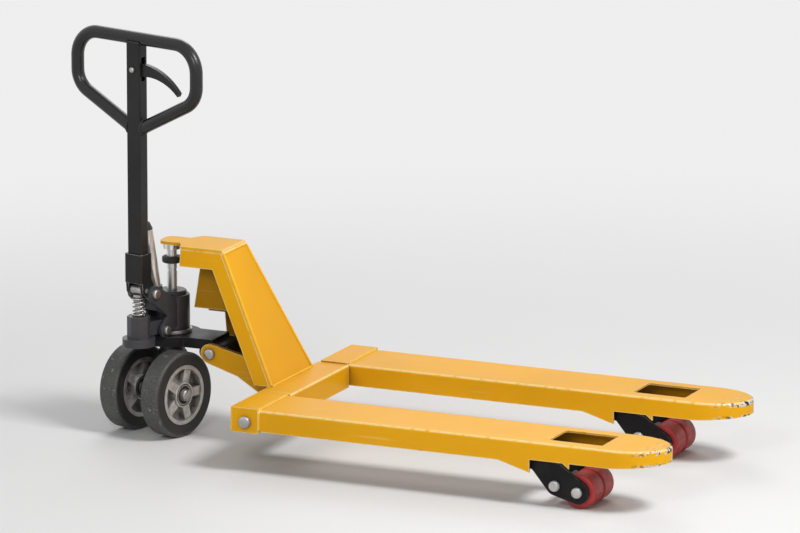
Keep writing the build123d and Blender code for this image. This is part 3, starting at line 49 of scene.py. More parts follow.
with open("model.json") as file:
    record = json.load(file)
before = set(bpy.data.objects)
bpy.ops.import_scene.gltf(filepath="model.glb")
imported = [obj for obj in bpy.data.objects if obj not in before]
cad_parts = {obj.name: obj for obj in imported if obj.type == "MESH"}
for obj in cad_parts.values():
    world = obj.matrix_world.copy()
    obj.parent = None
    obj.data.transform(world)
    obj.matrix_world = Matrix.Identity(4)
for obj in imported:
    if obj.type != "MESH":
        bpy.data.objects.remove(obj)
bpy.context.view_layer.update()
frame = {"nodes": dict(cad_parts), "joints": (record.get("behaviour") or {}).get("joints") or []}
NODES = frame["nodes"]
JOINTS = {joint["name"]: joint for joint in frame["joints"]}
UP = Vector((0, 0, 1))
ACROSS = Vector((0, 1, 0))
LEVEL = Vector((1, 1, 0))
STEER_AXIS = Vector(JOINTS["steer"]["pos_m"]) * LEVEL
SHAFT_AXIS = (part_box("handle_shaft")[0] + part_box("handle_shaft")[1]) / 2 * LEVEL
# The pump unit is steered at rest, so its own directions come from the handle's hinge.
UNIT_Y = -Vector(JOINTS["handle_tilt"]["axis"])
UNIT_X = UNIT_Y.cross(UP)
FORK_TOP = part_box("left_fork")[1].z
HEAD_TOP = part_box("head_top_plate")[1].z
FORK_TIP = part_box("right_fork")[1].x

CHASSIS_NODES = (
    "right_fork", "left_fork", "fork_brackets", "cross_beam", "head_top_plate",
    "head_front_plate", "head_side_plates", "link_arms",
)
# The inside of the hood gets a darker enamel as painted shade.
HOOD_INSIDE_NODES = ("head_web",)
LOOP_NODES = ("handle_loop",)
SOCKET_NODES = ("handle_socket",)
SATIN_NODES = ("handle_shaft", "release_lever", "rocker_tube")
DULL_NODES = ("right_roller_frame", "left_roller_frame", "thrust_plate")
CASTING_NODES = ("pump_body", "pump_collar", "strut_cup")
STEEL_NODES = (
    "rocker_shaft", "link_pin", "lever_pins", "right_push_rod", "left_push_rod",
    "frame_pivots", "right_frame_pins", "left_frame_pins", "right_roller_axle",
    "left_roller_axle", "thrust_ring", "pivot_pins", "plunger", "wheel_axle",
    "handle_pins", "press_roller", "release_rod",
)
CHROME_NODES = ("ram", "buffer_strut")
RUBBER_NODES = ("ram_ring", "strut_cap", "buffer_pad")
HANDS = ("right", "left")
SIDES = (-1, 1)
ROLLER_NODES = tuple(f"{hand}_roller_{key}" for hand in HANDS for key in "ab")

# Limits between which the painted highlight along the top rims and the chips at the noses fade in
# and out, up from a plate's top or back from a fork's tip.
RIM_HIGHLIGHT = ((-0.0075, -0.006), (0.0015, 0.0005))
NOSE_RIM_WEAR = ((-0.0125, -0.0085), (0.0003, -0.0008))
NOSE_FOOT_WEAR = (-0.0285, -0.0322)
NOSE_LENGTH = (-0.085, -0.012)

# Radii between which the finishes of wheels and rollers fade, and the tyre's rings in radians
# per metre.
TYRE_TREAD = (0.0900, 0.0985)
TYRE_LIP = (0.0735, 0.0705)
TYRE_RING_RATE = 2100.0
HUB_RIM = (0.0605, 0.0618)
HUB_SEAL = (0.0264, 0.0256)
BEARING_SEAL = ((0.0138, 0.0142), (0.0216, 0.0212))
ROLLER_CORE = (0.0242, 0.0238)
ROLLER_RIM = (0.0375, 0.0394)

# Rays that the bevel and occlusion nodes cast.
RAY_SAMPLES = 6

# Shades of wear, dirt and small parts, as linear values; some also serve as painted shade, painted
# highlight and painted reflection.
DARK_RUST = (0.03, 0.026, 0.022)
CHIPPED_STEEL = (0.66, 0.64, 0.60)
DUST = (0.09, 0.086, 0.08)
# Rubbed black paint, also a painted highlight on edges.
RUBBED_BLACK_AND_HIGHLIGHT = (0.17, 0.17, 0.175)
# Rubbed steel, also a painted highlight on weld beads.
RUBBED_STEEL_AND_HIGHLIGHT = (0.46, 0.46, 0.47)
# Grease, also painted shade in the hollows of pins and rods.
GREASE_AND_SHADE = (0.05, 0.047, 0.043)
# Dark and light chrome of the painted reflection streaks.
CHROME = ((0.52, 0.52, 0.525), (0.95, 0.95, 0.96))
OILY_CHROME = (0.46, 0.46, 0.46)
RUBBER = ((0.012, 0.012, 0.012), (0.03, 0.03, 0.031))
SCUFFED_RUBBER = (0.170, 0.168, 0.165)
NICKED_RUBBER = (0.32, 0.31, 0.30)
LIP_RUBBER = (0.010, 0.010, 0.010)
# Hub dirt, also painted shade round the ribs.
HUB_DIRT_AND_SHADE = (0.035, 0.032, 0.03)
SEAL_BLACK = (0.014, 0.014, 0.014)
BEARING_STEEL = ((0.40, 0.39, 0.38), (0.55, 0.54, 0.53))
ROLLED_DIRT = (0.24, 0.09, 0.08)
CORE_STEEL = ((0.10, 0.10, 0.10), (0.26, 0.26, 0.26))

# Weld beads: the forks' outer bend, points round a bead, in a ripple and round a leg, and shares
# of the bead's radius.
FORK_BEND = 0.007
BEAD_SIDES = 8
BEAD_STEPS = 3
LEG_SEAM_STEPS = 48
BEAD_WAIST = 0.80
BEAD_SWELL = 0.22
BEAD_SPREAD = 0.04
BEAD_END = 0.45
HEAD_SEAM_INSET = 0.8
BAR_SEAM_DROP = 2.2

# Return spring: points round the wire and in a turn, closed turns at each end and their rise in
# wire widths.
SPRING_SIDES = 12
SPRING_STEPS = 28
SPRING_FLAT = 0.75
SPRING_SEAT = 0.55

# Pin heads: radii, and the profile as shares of the radius and of the crown's height.
SHAFT_HEAD = 0.014
LINK_HEAD = 0.013
ROLLER_HEAD = 0.0125
PIVOT_HEAD = 0.011
CHEEK_HEAD = 0.010
LEVER_HEAD = 0.0065
CROWN_PROFILE = ((0.96, 0), (0.96, 0.62), (0.80, 0.96), (0.45, 1.08), (0, 1.12))

# Guide rod: how far it starts below the strut's foot and ends short of its tip, its lean towards
# the strut, its dome as a share of its radius, and its hexagon nut.
ROD_SIDES = 16
ROD_FOOT = 0.012
ROD_SHORT = 0.022
ROD_LEAN = 0.8
ROD_DOME = 0.4
NUT_SIDES = 6
NUT_DROP = 0.008
NUT_WIDTH = 2.1
NUT_HEIGHTS = (0.006, 0.0065, 0.0066)

# Stage: lamps by size and place, the floor, the backdrop's fade and the camera's fixed values.
SEEN_RAYS = ("Is Camera Ray", "Is Glossy Ray", "Is Transmission Ray")
LAMPS = {
    "key": (1.3, (2.8, -0.8, 3.8)),
    "fill": (0.9, (0.6, -4.0, 2.6)),
    "back": (2.0, (-1.6, 3.0, 3.0)),
}
LAMP_AIM = Vector((0, 0, 0.3))
FLOOR_HALF = 40.0
FLOOR_FADE = (0.9, 3.2)
PICTURE_WIDTH = 800
SENSOR_WIDTH = 36.0
FAR_CLIP = 200.0


class JackColours(bpy.types.PropertyGroup):
    """Colours of the finishes, as linear values."""

    enamel: FloatVectorProperty(
        name="Enamel", description="Yellow paint of the chassis", subtype="COLOR",
        default=(0.865, 0.420, 0.0085), min=0, max=1)
    # The pale enamel of rubbed edges and scuffs, also used as a painted highlight on edges and
    # bends.
    enamel_worn_and_highlight: FloatVectorProperty(
        name="Worn enamel", description="Thin, rubbed paint along the edges", subtype="COLOR",
        default=(1.0, 0.84, 0.42), min=0, max=1)
    satin: FloatVectorProperty(
        name="Satin black", description="Paint of the handle and the roller frames",
        subtype="COLOR", default=(0.013, 0.013, 0.0145), min=0, max=1)
    steel: FloatVectorProperty(
        name="Plated steel", description="Pins, rods and axles", subtype="COLOR",
        default=(0.50, 0.49, 0.48), min=0, max=1)
    tread: FloatVectorProperty(
        name="Roller tread", description="Red polyurethane of the load rollers", subtype="COLOR",
        default=(0.44, 0.030, 0.030), min=0, max=1)
    tyre: FloatVectorProperty(
        name="Tyre", description="Rubber of the steer wheels", subtype="COLOR",
        default=(0.0135, 0.0132, 0.0130), min=0, max=1)
    hub: FloatVectorProperty(
        name="Hub", description="Cast aluminium of the steer wheels", subtype="COLOR",
        default=(0.62, 0.60, 0.57), min=0, max=1)


class JackDetails(bpy.types.PropertyGroup):
    """Sizes of the added pieces."""

    bead: FloatProperty(
        name="Weld bead", description="Radius of a weld bead", unit="LENGTH",
        default=0.0036, min=0.001, max=0.006)
    ripple: FloatProperty(
        name="Bead ripple", description="Distance between the ripples of a bead", unit="LENGTH",
        default=0.0042, min=0.002, max=0.01)
    spring_wire: FloatProperty(
        name="Spring wire", description="Wire of the plunger's return spring", unit="LENGTH",
        default=0.0034, min=0.002, max=0.004)
    spring_turns: IntProperty(
        name="Spring turns", description="Open turns of the return spring", default=4, min=3, max=6)
    pin_crown: FloatProperty(
        name="Pin crown", description="Height of the crown on a pin's head", unit="LENGTH",
        default=0.0028, min=0.0005, max=0.004)
    guide_rod: FloatProperty(
        name="Guide rod", description="Radius of the thin rod beside the strut", unit="LENGTH",
        default=0.0024, min=0.001, max=0.004)
    guide_offset: FloatProperty(
        name="Guide offset", description="From the strut to the guide rod", unit="LENGTH",
        default=0.019, min=0.012, max=0.024)
    loop_tube: FloatProperty(
        name="Loop tube", description="Radius of the loop's tube", unit="LENGTH", default=0.015)
    loop_rise: FloatProperty(
        name="Loop rise", description="Slope of the loop's legs", subtype="ANGLE",
        default=radians(27.0))
    socket_wall: FloatProperty(
        name="Socket wall", description="Wall of the shaft's socket", unit="LENGTH", default=0.005)


class JackStage(bpy.types.PropertyGroup):
    """Camera, lamps and floor."""

    azimuth: FloatProperty(
        name="Azimuth", description="Camera's turn round the jack", subtype="ANGLE",
        default=radians(24.6))
    elevation: FloatProperty(
        name="Elevation", description="Camera's height angle", subtype="ANGLE",
        default=radians(13.19))
    distance: FloatProperty(
        name="Distance", description="From the camera to its target", unit="LENGTH",
        default=17.588, min=1)
    focal_pixels: FloatProperty(
        name="Focal length", description="In pixels of a picture 800 wide", default=7700, min=500)
    target: FloatVectorProperty(
        name="Target", description="Aim from the steer axis: along, across and up", subtype="XYZ",
        unit="LENGTH", default=(0.560, 0.0, 0.300))
    slide: FloatVectorProperty(
        name="Slide", description="Aim moved right and up in the picture", size=2,
        unit="LENGTH", default=(0.0177, 0.1313))
    floor: FloatVectorProperty(
        name="Floor", description="Pale floor", subtype="COLOR", default=(0.86, 0.86, 0.86),
        min=0, max=1)
    key: FloatProperty(
        name="Key lamp", description="Power of the key lamp", unit="POWER", default=126)
    fill: FloatProperty(
        name="Fill lamp", description="Power of the fill lamp", unit="POWER", default=30)
    back: FloatProperty(
        name="Back lamp", description="Power of the back lamp", unit="POWER", default=35)
    ambient: FloatProperty(name="Ambient", description="Strength of the sky", default=0.33)


class Tap:
    """One output socket of a material; arithmetic on it adds Math nodes."""

    def __init__(self, shade, socket):
        self.shade = shade
        self.socket = socket

    def _math(self, operation, first, second):
        return self.shade.node("Math", {"operation": operation}, first, second)

    def __add__(self, other):
        return self._math("ADD", self, other)

    def __sub__(self, other):
        return self._math("SUBTRACT", self, other)

    def __rsub__(self, other):
        return self._math("SUBTRACT", other, self)

    def __mul__(self, other):
        return self._math("MULTIPLY", self, other)

    __radd__ = __add__

    def sine(self):
        return self._math("SINE", self, 0.0)

    def either(self, other):
        return self._math("MAXIMUM", self, other)


class Shade:
    """A material under construction."""

    def __init__(self, name):
        self.material = bpy.data.materials.new(name)
        self.material.use_nodes = True
        self.tree = self.material.node_tree
        self.surface = self.tree.nodes["Principled BSDF"]
        self.place = self.node("TexCoord", out="Object")

    def node(self, kind, settings=None, *values, out=0, **named):
        """Add a node: its settings first, then its sockets by place or by name."""
        node = self.tree.nodes.new("ShaderNode" + kind)
        for key, value in (settings or {}).items():
            setattr(node, key, value)
        for socket, value in zip(node.inputs, values):
            self.feed(socket, value)
        for key, value in named.items():
            self.feed(node.inputs[key.replace("_", " ")], value)
        return Tap(self, node.outputs[out])

    def feed(self, socket, value):
        if value is None:
            return
        if isinstance(value, Tap):
            self.tree.links.new(value.socket, socket)
        else:
            socket.default_value = value

    def set(self, **named):
        """Feed the surface shader's sockets."""
        for key, value in named.items():
            self.feed(self.surface.inputs[key.replace("_", " ")], value)

    def noise(self, scale, detail=4.0, stretch=None):
        place = self.place
        if stretch is not None:
            place = self.vector("MULTIPLY", place, stretch)
        return self.node("TexNoise", None, Vector=place, Scale=scale, Detail=detail, out="Fac")

    def vector(self, operation, first, second=None, out=0):
        return self.node("VectorMath", {"operation": operation}, first, second, out=out)

    def ramp(self, value, low, high):
        """Smooth step of a value from 0 at one limit to 1 at the other."""
        return self.node("MapRange", {"interpolation_type": "SMOOTHSTEP"}, value, low, high)

    def band(self, value, rise, fall, start=0.0):
        """1 between two smooth steps, whose limits are counted from a start."""
        inside = [self.ramp(value, start + low, start + high) for low, high in (rise, fall)]
        return inside[0] * inside[1]

    def mix(self, factor, first, second):
        """Mix of two colours; the node's sockets for other kinds of value stay unused."""
        unused = (None,) * 5
        return self.node(
            "Mix", {"data_type": "RGBA"}, factor, *unused, colour(first), colour(second), out=2)

    def edges(self, radius):
        """1 along sharp edges, 0 on flat ground."""
        soft = self.node("Bevel", {"samples": RAY_SAMPLES}, Radius=radius)
        true = self.node("NewGeometry", out="Normal")
        return 1.0 - self.vector("DOT_PRODUCT", soft, true, out="Value")

    def hollows(self, distance):
        """1 in corners and recesses, 0 in the open."""
        seen = self.node("AmbientOcclusion", {"samples": RAY_SAMPLES}, Distance=distance, out="AO")
        return 1.0 - seen

    def coordinate(self, axis):
        return self.node("SeparateXYZ", None, self.place, out=axis)

    def radius_about(self, centre, axis):
        """Distance from a line."""
        arm = self.vector("SUBTRACT", self.place, tuple(centre))
        return self.vector("LENGTH", self.vector("CROSS_PRODUCT", arm, tuple(axis)), out="Value")

    def bump(self, height, strength, distance=0.001, rounding=None):
        """Relief on the surface, over edges softened by a small radius."""
        normal = self.node("Bevel", {"samples": RAY_SAMPLES}, Radius=rounding) if rounding else None
        relief = self.node(
            "Bump", None, Strength=strength, Distance=distance, Height=height, Normal=normal)
        self.set(Normal=relief)


def colour(value):
    """A colour socket takes four numbers or a link."""
    return value if isinstance(value, Tap) else (*value[:3], 1.0)


def tint(base, factor):
    return tuple(min(1.0, channel * factor) for channel in base[:3])


def yellow_enamel(name, lift=1.0, rubbed_and_highlight=0.8, dirt_and_shade=0.28):
    """Glossy enamel: faint clouds, edges lightened by rubbing and by a painted highlight, a painted
    highlight on the upward bends of the top rims, dust and painted shade in corners, deeper painted
    shade in recesses, and chips at the fork noses.
    """
    colours = bpy.context.scene.jack_colours
    shade = Shade(name)
    base = tint(colours.enamel, lift)
    clouds = shade.noise(2.6, detail=3.0)
    paint = shade.mix(shade.ramp(clouds, 0.3, 0.7), tint(base, 0.93), tint(base, 1.06))
    streaks = shade.noise(1.0, detail=2.0, stretch=(5, 210, 210))
    scuffs = shade.ramp(streaks, 0.63, 0.72) * shade.ramp(shade.noise(7.0), 0.45, 0.7)
    paint = shade.mix(scuffs * 0.22, paint, colours.enamel_worn_and_highlight)
    # Corners and recesses darken, partly as dust and partly as painted shade.
    grime_and_shade = shade.hollows(0.035) * shade.ramp(shade.noise(24.0), 0.25, 0.75)
    paint = shade.mix(grime_and_shade * dirt_and_shade, paint, tint(base, 0.32))
    # Painted shade: surfaces deep in wide recesses, such as the inside of the hood, darken
    # strongly.
    deep_painted_shade = shade.ramp(shade.hollows(0.22), 0.38, 0.66)
    paint = shade.mix(deep_painted_shade * 0.75, paint, tint(base, 0.14))
    x = shade.coordinate("X")
    z = shade.coordinate("Z")
    facing = shade.node("SeparateXYZ", None, shade.node("NewGeometry", out="Normal"), out="Z")
    # Painted highlight: rounded bends that face partly upwards near the top rims of the forks and
    # the head are lightened.
    turned = shade.ramp(facing, 0.25, 0.55) * shade.ramp(facing, 0.99, 0.93)
    rims = [shade.band(z, *RIM_HIGHLIGHT, start=top) for top in (FORK_TOP, HEAD_TOP)]
    bend = turned * rims[0].either(rims[1])
    patchy = shade.ramp(shade.noise(60.0), 0.24, 0.50)
    # Edges take the pale enamel, partly as rubbed paint and partly as a painted highlight.
    worn_edge_and_highlight = shade.ramp(shade.edges(0.0036), 0.01, 0.07).either(bend * 0.8) * patchy
    paint = shade.mix(worn_edge_and_highlight * rubbed_and_highlight, paint, colours.enamel_worn_and_highlight)
    nose = shade.ramp(x, *(FORK_TIP + limit for limit in NOSE_LENGTH))
    top_edge = shade.band(z, *NOSE_RIM_WEAR, start=FORK_TOP)
    low_edge = shade.ramp(z, *(FORK_TOP + limit for limit in NOSE_FOOT_WEAR))
    broken = shade.ramp(shade.noise(58.0, detail=7.0), 0.45, 0.50)
    chips = nose * top_edge.either(low_edge * 0.9) * broken
    rust = shade.ramp(shade.noise(130.0, detail=2.0), 0.44, 0.54)
    bare = shade.mix(rust, DARK_RUST, CHIPPED_STEEL)
    paint = shade.mix(chips, paint, bare)
    shade.set(
        Base_Color=paint,
        Roughness=0.30 + shade.noise(9.0) * 0.12 + chips * 0.2 + grime_and_shade * 0.3,
        Metallic=chips * 0.5,
        Specular_IOR_Level=0.10,
    )
    relief = shade.noise(380.0, detail=2.0) * 0.25 - chips * 1.0 - scuffs * 0.1
    shade.bump(relief, strength=0.12, rounding=0.0009)
    return shade.material


def satin_black(
        name, lift=1.0, gloss=0.26, rough=0.28, worn_and_highlight=0.35, grain=420.0, depth=0.10, bright=0.0):
    """Black powder coat, lighter along its edges, partly from rubbing and partly as a painted
    highlight; bright edges show a steel colour, bare steel on a worn socket and a painted highlight
    on weld beads.
    """
    base = tint(bpy.context.scene.jack_colours.satin, lift)
    shade = Shade(name)
    paint = shade.mix(shade.noise(14.0), tint(base, 0.82), tint(base, 1.35))
    dust = shade.ramp(shade.noise(9.0, detail=6.0), 0.5, 0.75)
    paint = shade.mix(dust * 0.12, paint, DUST)
    # Edges lighten, partly as rubbed paint and partly as a painted highlight.
    worn_edge_and_highlight = shade.ramp(shade.edges(0.002), 0.02, 0.14) * shade.ramp(shade.noise(70.0), 0.32, 0.6)
    paint = shade.mix(worn_edge_and_highlight * worn_and_highlight, paint, RUBBED_BLACK_AND_HIGHLIGHT)
    bare = worn_edge_and_highlight * bright
    paint = shade.mix(bare, paint, RUBBED_STEEL_AND_HIGHLIGHT)
    shade.set(
        Base_Color=paint,
        Roughness=rough + shade.noise(30.0) * 0.14 + dust * 0.1,
        Metallic=bare,
        Specular_IOR_Level=gloss,
    )
    shade.bump(shade.noise(grain, detail=3.0), strength=depth, rounding=0.0014)
    return shade.material


def plated_steel(name, lift=1.0, rough=0.30, soiling_and_shade=0.8):
    """Zinc-plated steel, finely turned, with dull patches, and grease and painted shade darkening
    its hollows.
    """
    base = tint(bpy.context.scene.jack_colours.steel, lift)
    shade = Shade(name)
    cloud = shade.noise(38.0, detail=5.0)
    metal = shade.mix(shade.ramp(cloud, 0.32, 0.72), tint(base, 0.72), tint(base, 1.12))
    # Hollows darken, partly as grease and partly as painted shade.
    dirt_and_shade = shade.hollows(0.012)
    metal = shade.mix(dirt_and_shade * soiling_and_shade, metal, GREASE_AND_SHADE)
    shade.set(
        Base_Color=metal,
        Roughness=rough + cloud * 0.18 + dirt_and_shade * 0.2,
        Metallic=0.9 - dirt_and_shade * 0.5,
    )
    shade.bump(shade.noise(700.0, detail=2.0), strength=0.08, distance=0.0006, rounding=0.0008)
    return shade.material


def hard_chrome(name):
    """Ground and chromed rod with faint lines from drawing, light and dark streaks along it as a
    painted reflection, and a little oil.
    """
    shade = Shade(name)
    lines = shade.noise(1.0, detail=2.0, stretch=(900, 900, 30))
    oil = shade.ramp(shade.noise(22.0), 0.5, 0.75)
    # Painted reflection: light and dark streaks run along the rod.
    reflection_streaks = shade.ramp(shade.noise(1.0, detail=3.0, stretch=(150, 150, 5)), 0.40, 0.60)
    metal = shade.mix(reflection_streaks, *CHROME)
    metal = shade.mix(oil * 0.3, metal, OILY_CHROME)
    shade.set(Base_Color=metal, Roughness=0.24 + lines * 0.10 + oil * 0.12, Metallic=0.72)
    shade.bump(lines, strength=0.03, distance=0.0004)
    return shade.material


def moulded_rubber(name):
    """Black rubber with a fine, dull grain."""
    shade = Shade(name)
    cloud = shade.noise(30.0)
    shade.set(
        Base_Color=shade.mix(cloud, *RUBBER),
        Roughness=0.6 + cloud * 0.2,
    )
    shade.bump(shade.noise(500.0), strength=0.12, rounding=0.0012)
    return shade.material


def tyre_rubber(name, centre, axis):
    """Solid tyre: turned rings on the wall, a scuffed and dusty tread."""
    base = bpy.context.scene.jack_colours.tyre
    shade = Shade(name)
    reach = shade.radius_about(centre, axis)
    rings = (reach * TYRE_RING_RATE).sine() * 0.5 + 0.5
    cloud = shade.ramp(shade.noise(60.0, detail=6.0), 0.3, 0.7)
    rubber = shade.mix(cloud, tint(base, 0.75), tint(base, 1.5))
    rubber = shade.mix(rings * 0.25, rubber, tint(base, 2.2))
    tread = shade.ramp(reach, *TYRE_TREAD)
    scrape = shade.ramp(shade.noise(330.0, detail=5.0), 0.34, 0.68)
    rubber = shade.mix(tread * (scrape * 0.32 + 0.20), rubber, SCUFFED_RUBBER)
    nicks = tread * shade.ramp(shade.noise(95.0, detail=3.0), 0.66, 0.70)
    rubber = shade.mix(nicks * 0.6, rubber, NICKED_RUBBER)
    lip = shade.ramp(reach, *TYRE_LIP)
    rubber = shade.mix(lip * 0.6, rubber, LIP_RUBBER)
    shade.set(Base_Color=rubber, Roughness=0.40 + cloud * 0.18 + tread * 0.06)
    relief = rings * 0.5 + shade.noise(420.0) * 0.4 + scrape * tread * 0.8
    shade.bump(relief, strength=0.14)
    return shade.material


def cast_hub(name, centre, axis):
    """Cast aluminium with a turned rim, dirt and painted shade round its ribs, and a black seal on
    its boss.
    """
    base = bpy.context.scene.jack_colours.hub
    shade = Shade(name)
    reach = shade.radius_about(centre, axis)
    turned = shade.ramp(reach, *HUB_RIM)
    grain = shade.noise(60.0, detail=6.0)
    metal = shade.mix(shade.ramp(grain, 0.3, 0.7), tint(base, 0.7), tint(base, 1.15))
    metal = shade.mix(turned * 0.5, metal, tint(base, 0.95))
    # Round the ribs and in the pockets the hub darkens, partly as dirt and partly as painted shade.
    dirt_and_shade = shade.ramp(shade.hollows(0.03), 0.15, 0.75) * shade.ramp(shade.noise(35.0), 0.15, 0.55)
    metal = shade.mix(dirt_and_shade * 0.9, metal, HUB_DIRT_AND_SHADE)
    seal = shade.ramp(reach, *HUB_SEAL)
    metal = shade.mix(seal, metal, SEAL_BLACK)
    shade.set(
        Base_Color=metal,
        Roughness=0.52 - turned * 0.17 + dirt_and_shade * 0.3,
        Metallic=(0.85 - dirt_and_shade * 0.6) * (1 - seal),
    )
    shade.bump(grain + shade.noise(300.0) * 0.4, strength=0.25, rounding=0.0014)
    return shade.material


def bearing_face(name, centre, axis):
    """Ball bearing seen from its side: steel rings and a black seal between them."""
    shade = Shade(name)
    reach = shade.radius_about(centre, axis)
    seal = shade.band(reach, *BEARING_SEAL)
    metal = shade.mix(shade.noise(50.0), *BEARING_STEEL)
    shade.set(
        Base_Color=shade.mix(seal, metal, SEAL_BLACK),
        Roughness=0.3 + seal * 0.3,
        Metallic=1.0 - seal,
    )
    shade.bump(shade.noise(300.0), strength=0.08, rounding=0.0008)
    return shade.material


def roller_tread(name, centre, axis):
    """Red polyurethane on a steel core, scuffed and dusty where it rolls."""
    base = bpy.context.scene.jack_colours.tread
    shade = Shade(name)
    reach = shade.radius_about(centre, axis)
    core = shade.ramp(reach, *ROLLER_CORE)
    cloud = shade.ramp(shade.noise(28.0, detail=5.0), 0.3, 0.72)
    red = shade.mix(cloud, tint(base, 0.78), tint(base, 1.25))
    rolled = shade.ramp(reach, *ROLLER_RIM) * shade.ramp(shade.noise(75.0, detail=7.0), 0.44, 0.62)
    red = shade.mix(rolled * 0.5, red, ROLLED_DIRT)
    steel = shade.mix(shade.noise(45.0), *CORE_STEEL)
    shade.set(
        Base_Color=shade.mix(core, red, steel),
        Roughness=0.40 + cloud * 0.12 + rolled * 0.2,
        Metallic=core * 0.9,
    )
    shade.bump(shade.noise(260.0) * 0.5 + rolled * 0.5, strength=0.12, rounding=0.001)
    return shade.material


def floor_finish(name, base):
    """Pale floor that keeps the jack's shadow and fades to an even backdrop further out."""
    shade = Shade(name)
    grain = shade.noise(3.0)
    shade.set(Base_Color=shade.mix(grain, tint(base, 0.99), tint(base, 1.01)), Roughness=0.9)
    seen = 0.0
    for ray in SEEN_RAYS:
        seen = shade.node("LightPath", out=ray) + seen
    away = shade.vector("LENGTH", shade.place, out="Value")
    backdrop = shade.node("Emission", None, (*base, 1.0), 1.0)
    mixed = shade.node(
        "MixShader", None, shade.ramp(away, *FLOOR_FADE) * seen,
        Tap(shade, shade.surface.outputs[0]), backdrop)
    shade.feed(shade.tree.nodes["Material Output"].inputs["Surface"], mixed)
    return shade.material


def paint(nodes, material):
    """Give CAD nodes one finish."""
    for name in nodes:
        slots = NODES[name].data.materials
        slots.clear()
        slots.append(material)


def piece(name, mesh_maker, material, body):
    """A new mesh piece that rides on a body and holds the given finish."""
    mesh = bpy.data.meshes.new(name)
    build = bmesh.new()
    mesh_maker(build)
    bmesh.ops.recalc_face_normals(build, faces=build.faces)
    build.to_mesh(mesh)
    build.free()
    for polygon in mesh.polygons:
        polygon.use_smooth = True
    mesh.materials.append(material)
    made = bpy.data.objects.new(name, mesh)
    bpy.context.scene.collection.objects.link(made)
    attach(made, body)
    return made


def ring(build, centre, radius, side_way, other_way, sides):
    """Corners of a circle, in the plane of two directions."""
    return [
        build.verts.new(centre + radius * (side_way * cos(turn) + other_way * sin(turn)))
        for turn in (tau * side / sides for side in range(sides))
    ]


def bridge(build, low, high):
    """Faces from a ring to the next ring or to a tip."""
    for side, here in enumerate(low):
        after = (side + 1) % len(low)
        if len(high) == 1:
            build.faces.new((here, low[after], high[0]))
        else:
            build.faces.new((here, low[after], high[after], high[side]))


def tube(build, path, radii, sides):
    """Tube along a list of points, with a radius at each of them."""
    rings = []
    side_way = None
    last = len(path) - 1
    for index, point in enumerate(path):
        along = (path[min(index + 1, last)] - path[max(index - 1, 0)]).normalized()
        if side_way is None:
            side_way = along.orthogonal()
        side_way = (side_way - along * side_way.dot(along)).normalized()
        rings.append(ring(build, point, radii[index], side_way, along.cross(side_way), sides))
    for low, high in zip(rings, rings[1:]):
        bridge(build, low, high)
    build.faces.new(list(reversed(rings[0])))
    build.faces.new(rings[-1])


def lathe(build, centre, axis, profile, sides=40):
    """Turned shape: the profile lists (radius, height) from rim to tip along the axis."""
    axis = Vector(axis).normalized()
    side_way = axis.orthogonal().normalized()
    other_way = axis.cross(side_way)
    rings = []
    for radius, height in profile:
        place = centre + axis * height
        if radius == 0:
            rings.append([build.verts.new(place)])
        else:
            rings.append(ring(build, place, radius, side_way, other_way, sides))
    for low, high in zip(rings, rings[1:]):
        bridge(build, low, high)
    build.faces.new(list(reversed(rings[0])))


def bead(build, path, seed):
    """Weld bead: a tube whose girth ripples along the seam."""
    details = bpy.context.scene.jack_details
    draw = random.Random(seed)
    points = []
    for start, end in zip(path, path[1:]):
        steps = max(2, round((end - start).length / (details.ripple / BEAD_STEPS)))
        points += [start.lerp(end, step / steps) for step in range(steps)]
    points.append(path[-1])
    radii = []
    for index in range(len(points)):
        ripple = 0.5 + 0.5 * cos(tau * index / BEAD_STEPS)
        uneven = draw.uniform(-BEAD_SPREAD, BEAD_SPREAD)
        radii.append(details.bead * (BEAD_WAIST + BEAD_SWELL * ripple + uneven))
    radii[0] = radii[-1] = details.bead * BEAD_END
    tube(build, points, radii, BEAD_SIDES)


def corner(node, *way):
    """The vertex of a node that lies furthest in a direction."""
    way = Vector(way)
    return max((vertex.co for vertex in NODES[node].data.vertices), key=way.dot).copy()


def middle(node):
    """The middle of a node's box."""
    low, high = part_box(node)
    return (low + high) / 2


class JACK_OT_chassis(bpy.types.Operator):
    """Paint the forks, the head and the link arms yellow, and the inside of the hood a darker
    yellow as painted shade
    """

    bl_idname = "jack.chassis"
    bl_label = "Paint chassis"

    def execute(self, context):
        paint(CHASSIS_NODES, yellow_enamel("yellow_enamel"))
        # Painted shade: a darker copy of the enamel, with more darkening in its corners.
        paint(HOOD_INSIDE_NODES, yellow_enamel("hood_inside", lift=0.74, dirt_and_shade=0.7))
        return {"FINISHED"}


class JACK_OT_black_parts(bpy.types.Operator):
    """Paint the handle, the pump casting and the roller frames black"""

    bl_idname = "jack.black_parts"
    bl_label = "Paint black parts"

    def execute(self, context):
        paint(SATIN_NODES, satin_black("satin_black"))
        # Painted highlight: the edges of the roller frames and the thrust plate are strongly
        # lightened.
        paint(DULL_NODES, satin_black("dull_black", lift=0.9, gloss=0.12, worn_and_highlight=0.9))
        paint(LOOP_NODES, satin_black("loop_black", lift=0.5, gloss=0.46, rough=0.15))
        paint(SOCKET_NODES, satin_black("worn_socket", worn_and_highlight=0.9, bright=1.0))
        paint(CASTING_NODES, satin_black(
            "black_casting", lift=3.6, gloss=0.34, worn_and_highlight=0.6, grain=170.0, depth=0.35))
        paint(RUBBER_NODES, moulded_rubber("moulded_rubber"))
        return {"FINISHED"}


class JACK_OT_bright_parts(bpy.types.Operator):
    """Finish the pins, rods, ram and strut in bright metal"""

    bl_idname = "jack.bright_parts"
    bl_label = "Finish bright parts"

    def execute(self, context):
        paint(STEEL_NODES, plated_steel("plated_steel"))
        paint(CHROME_NODES, hard_chrome("hard_chrome"))
        return {"FINISHED"}


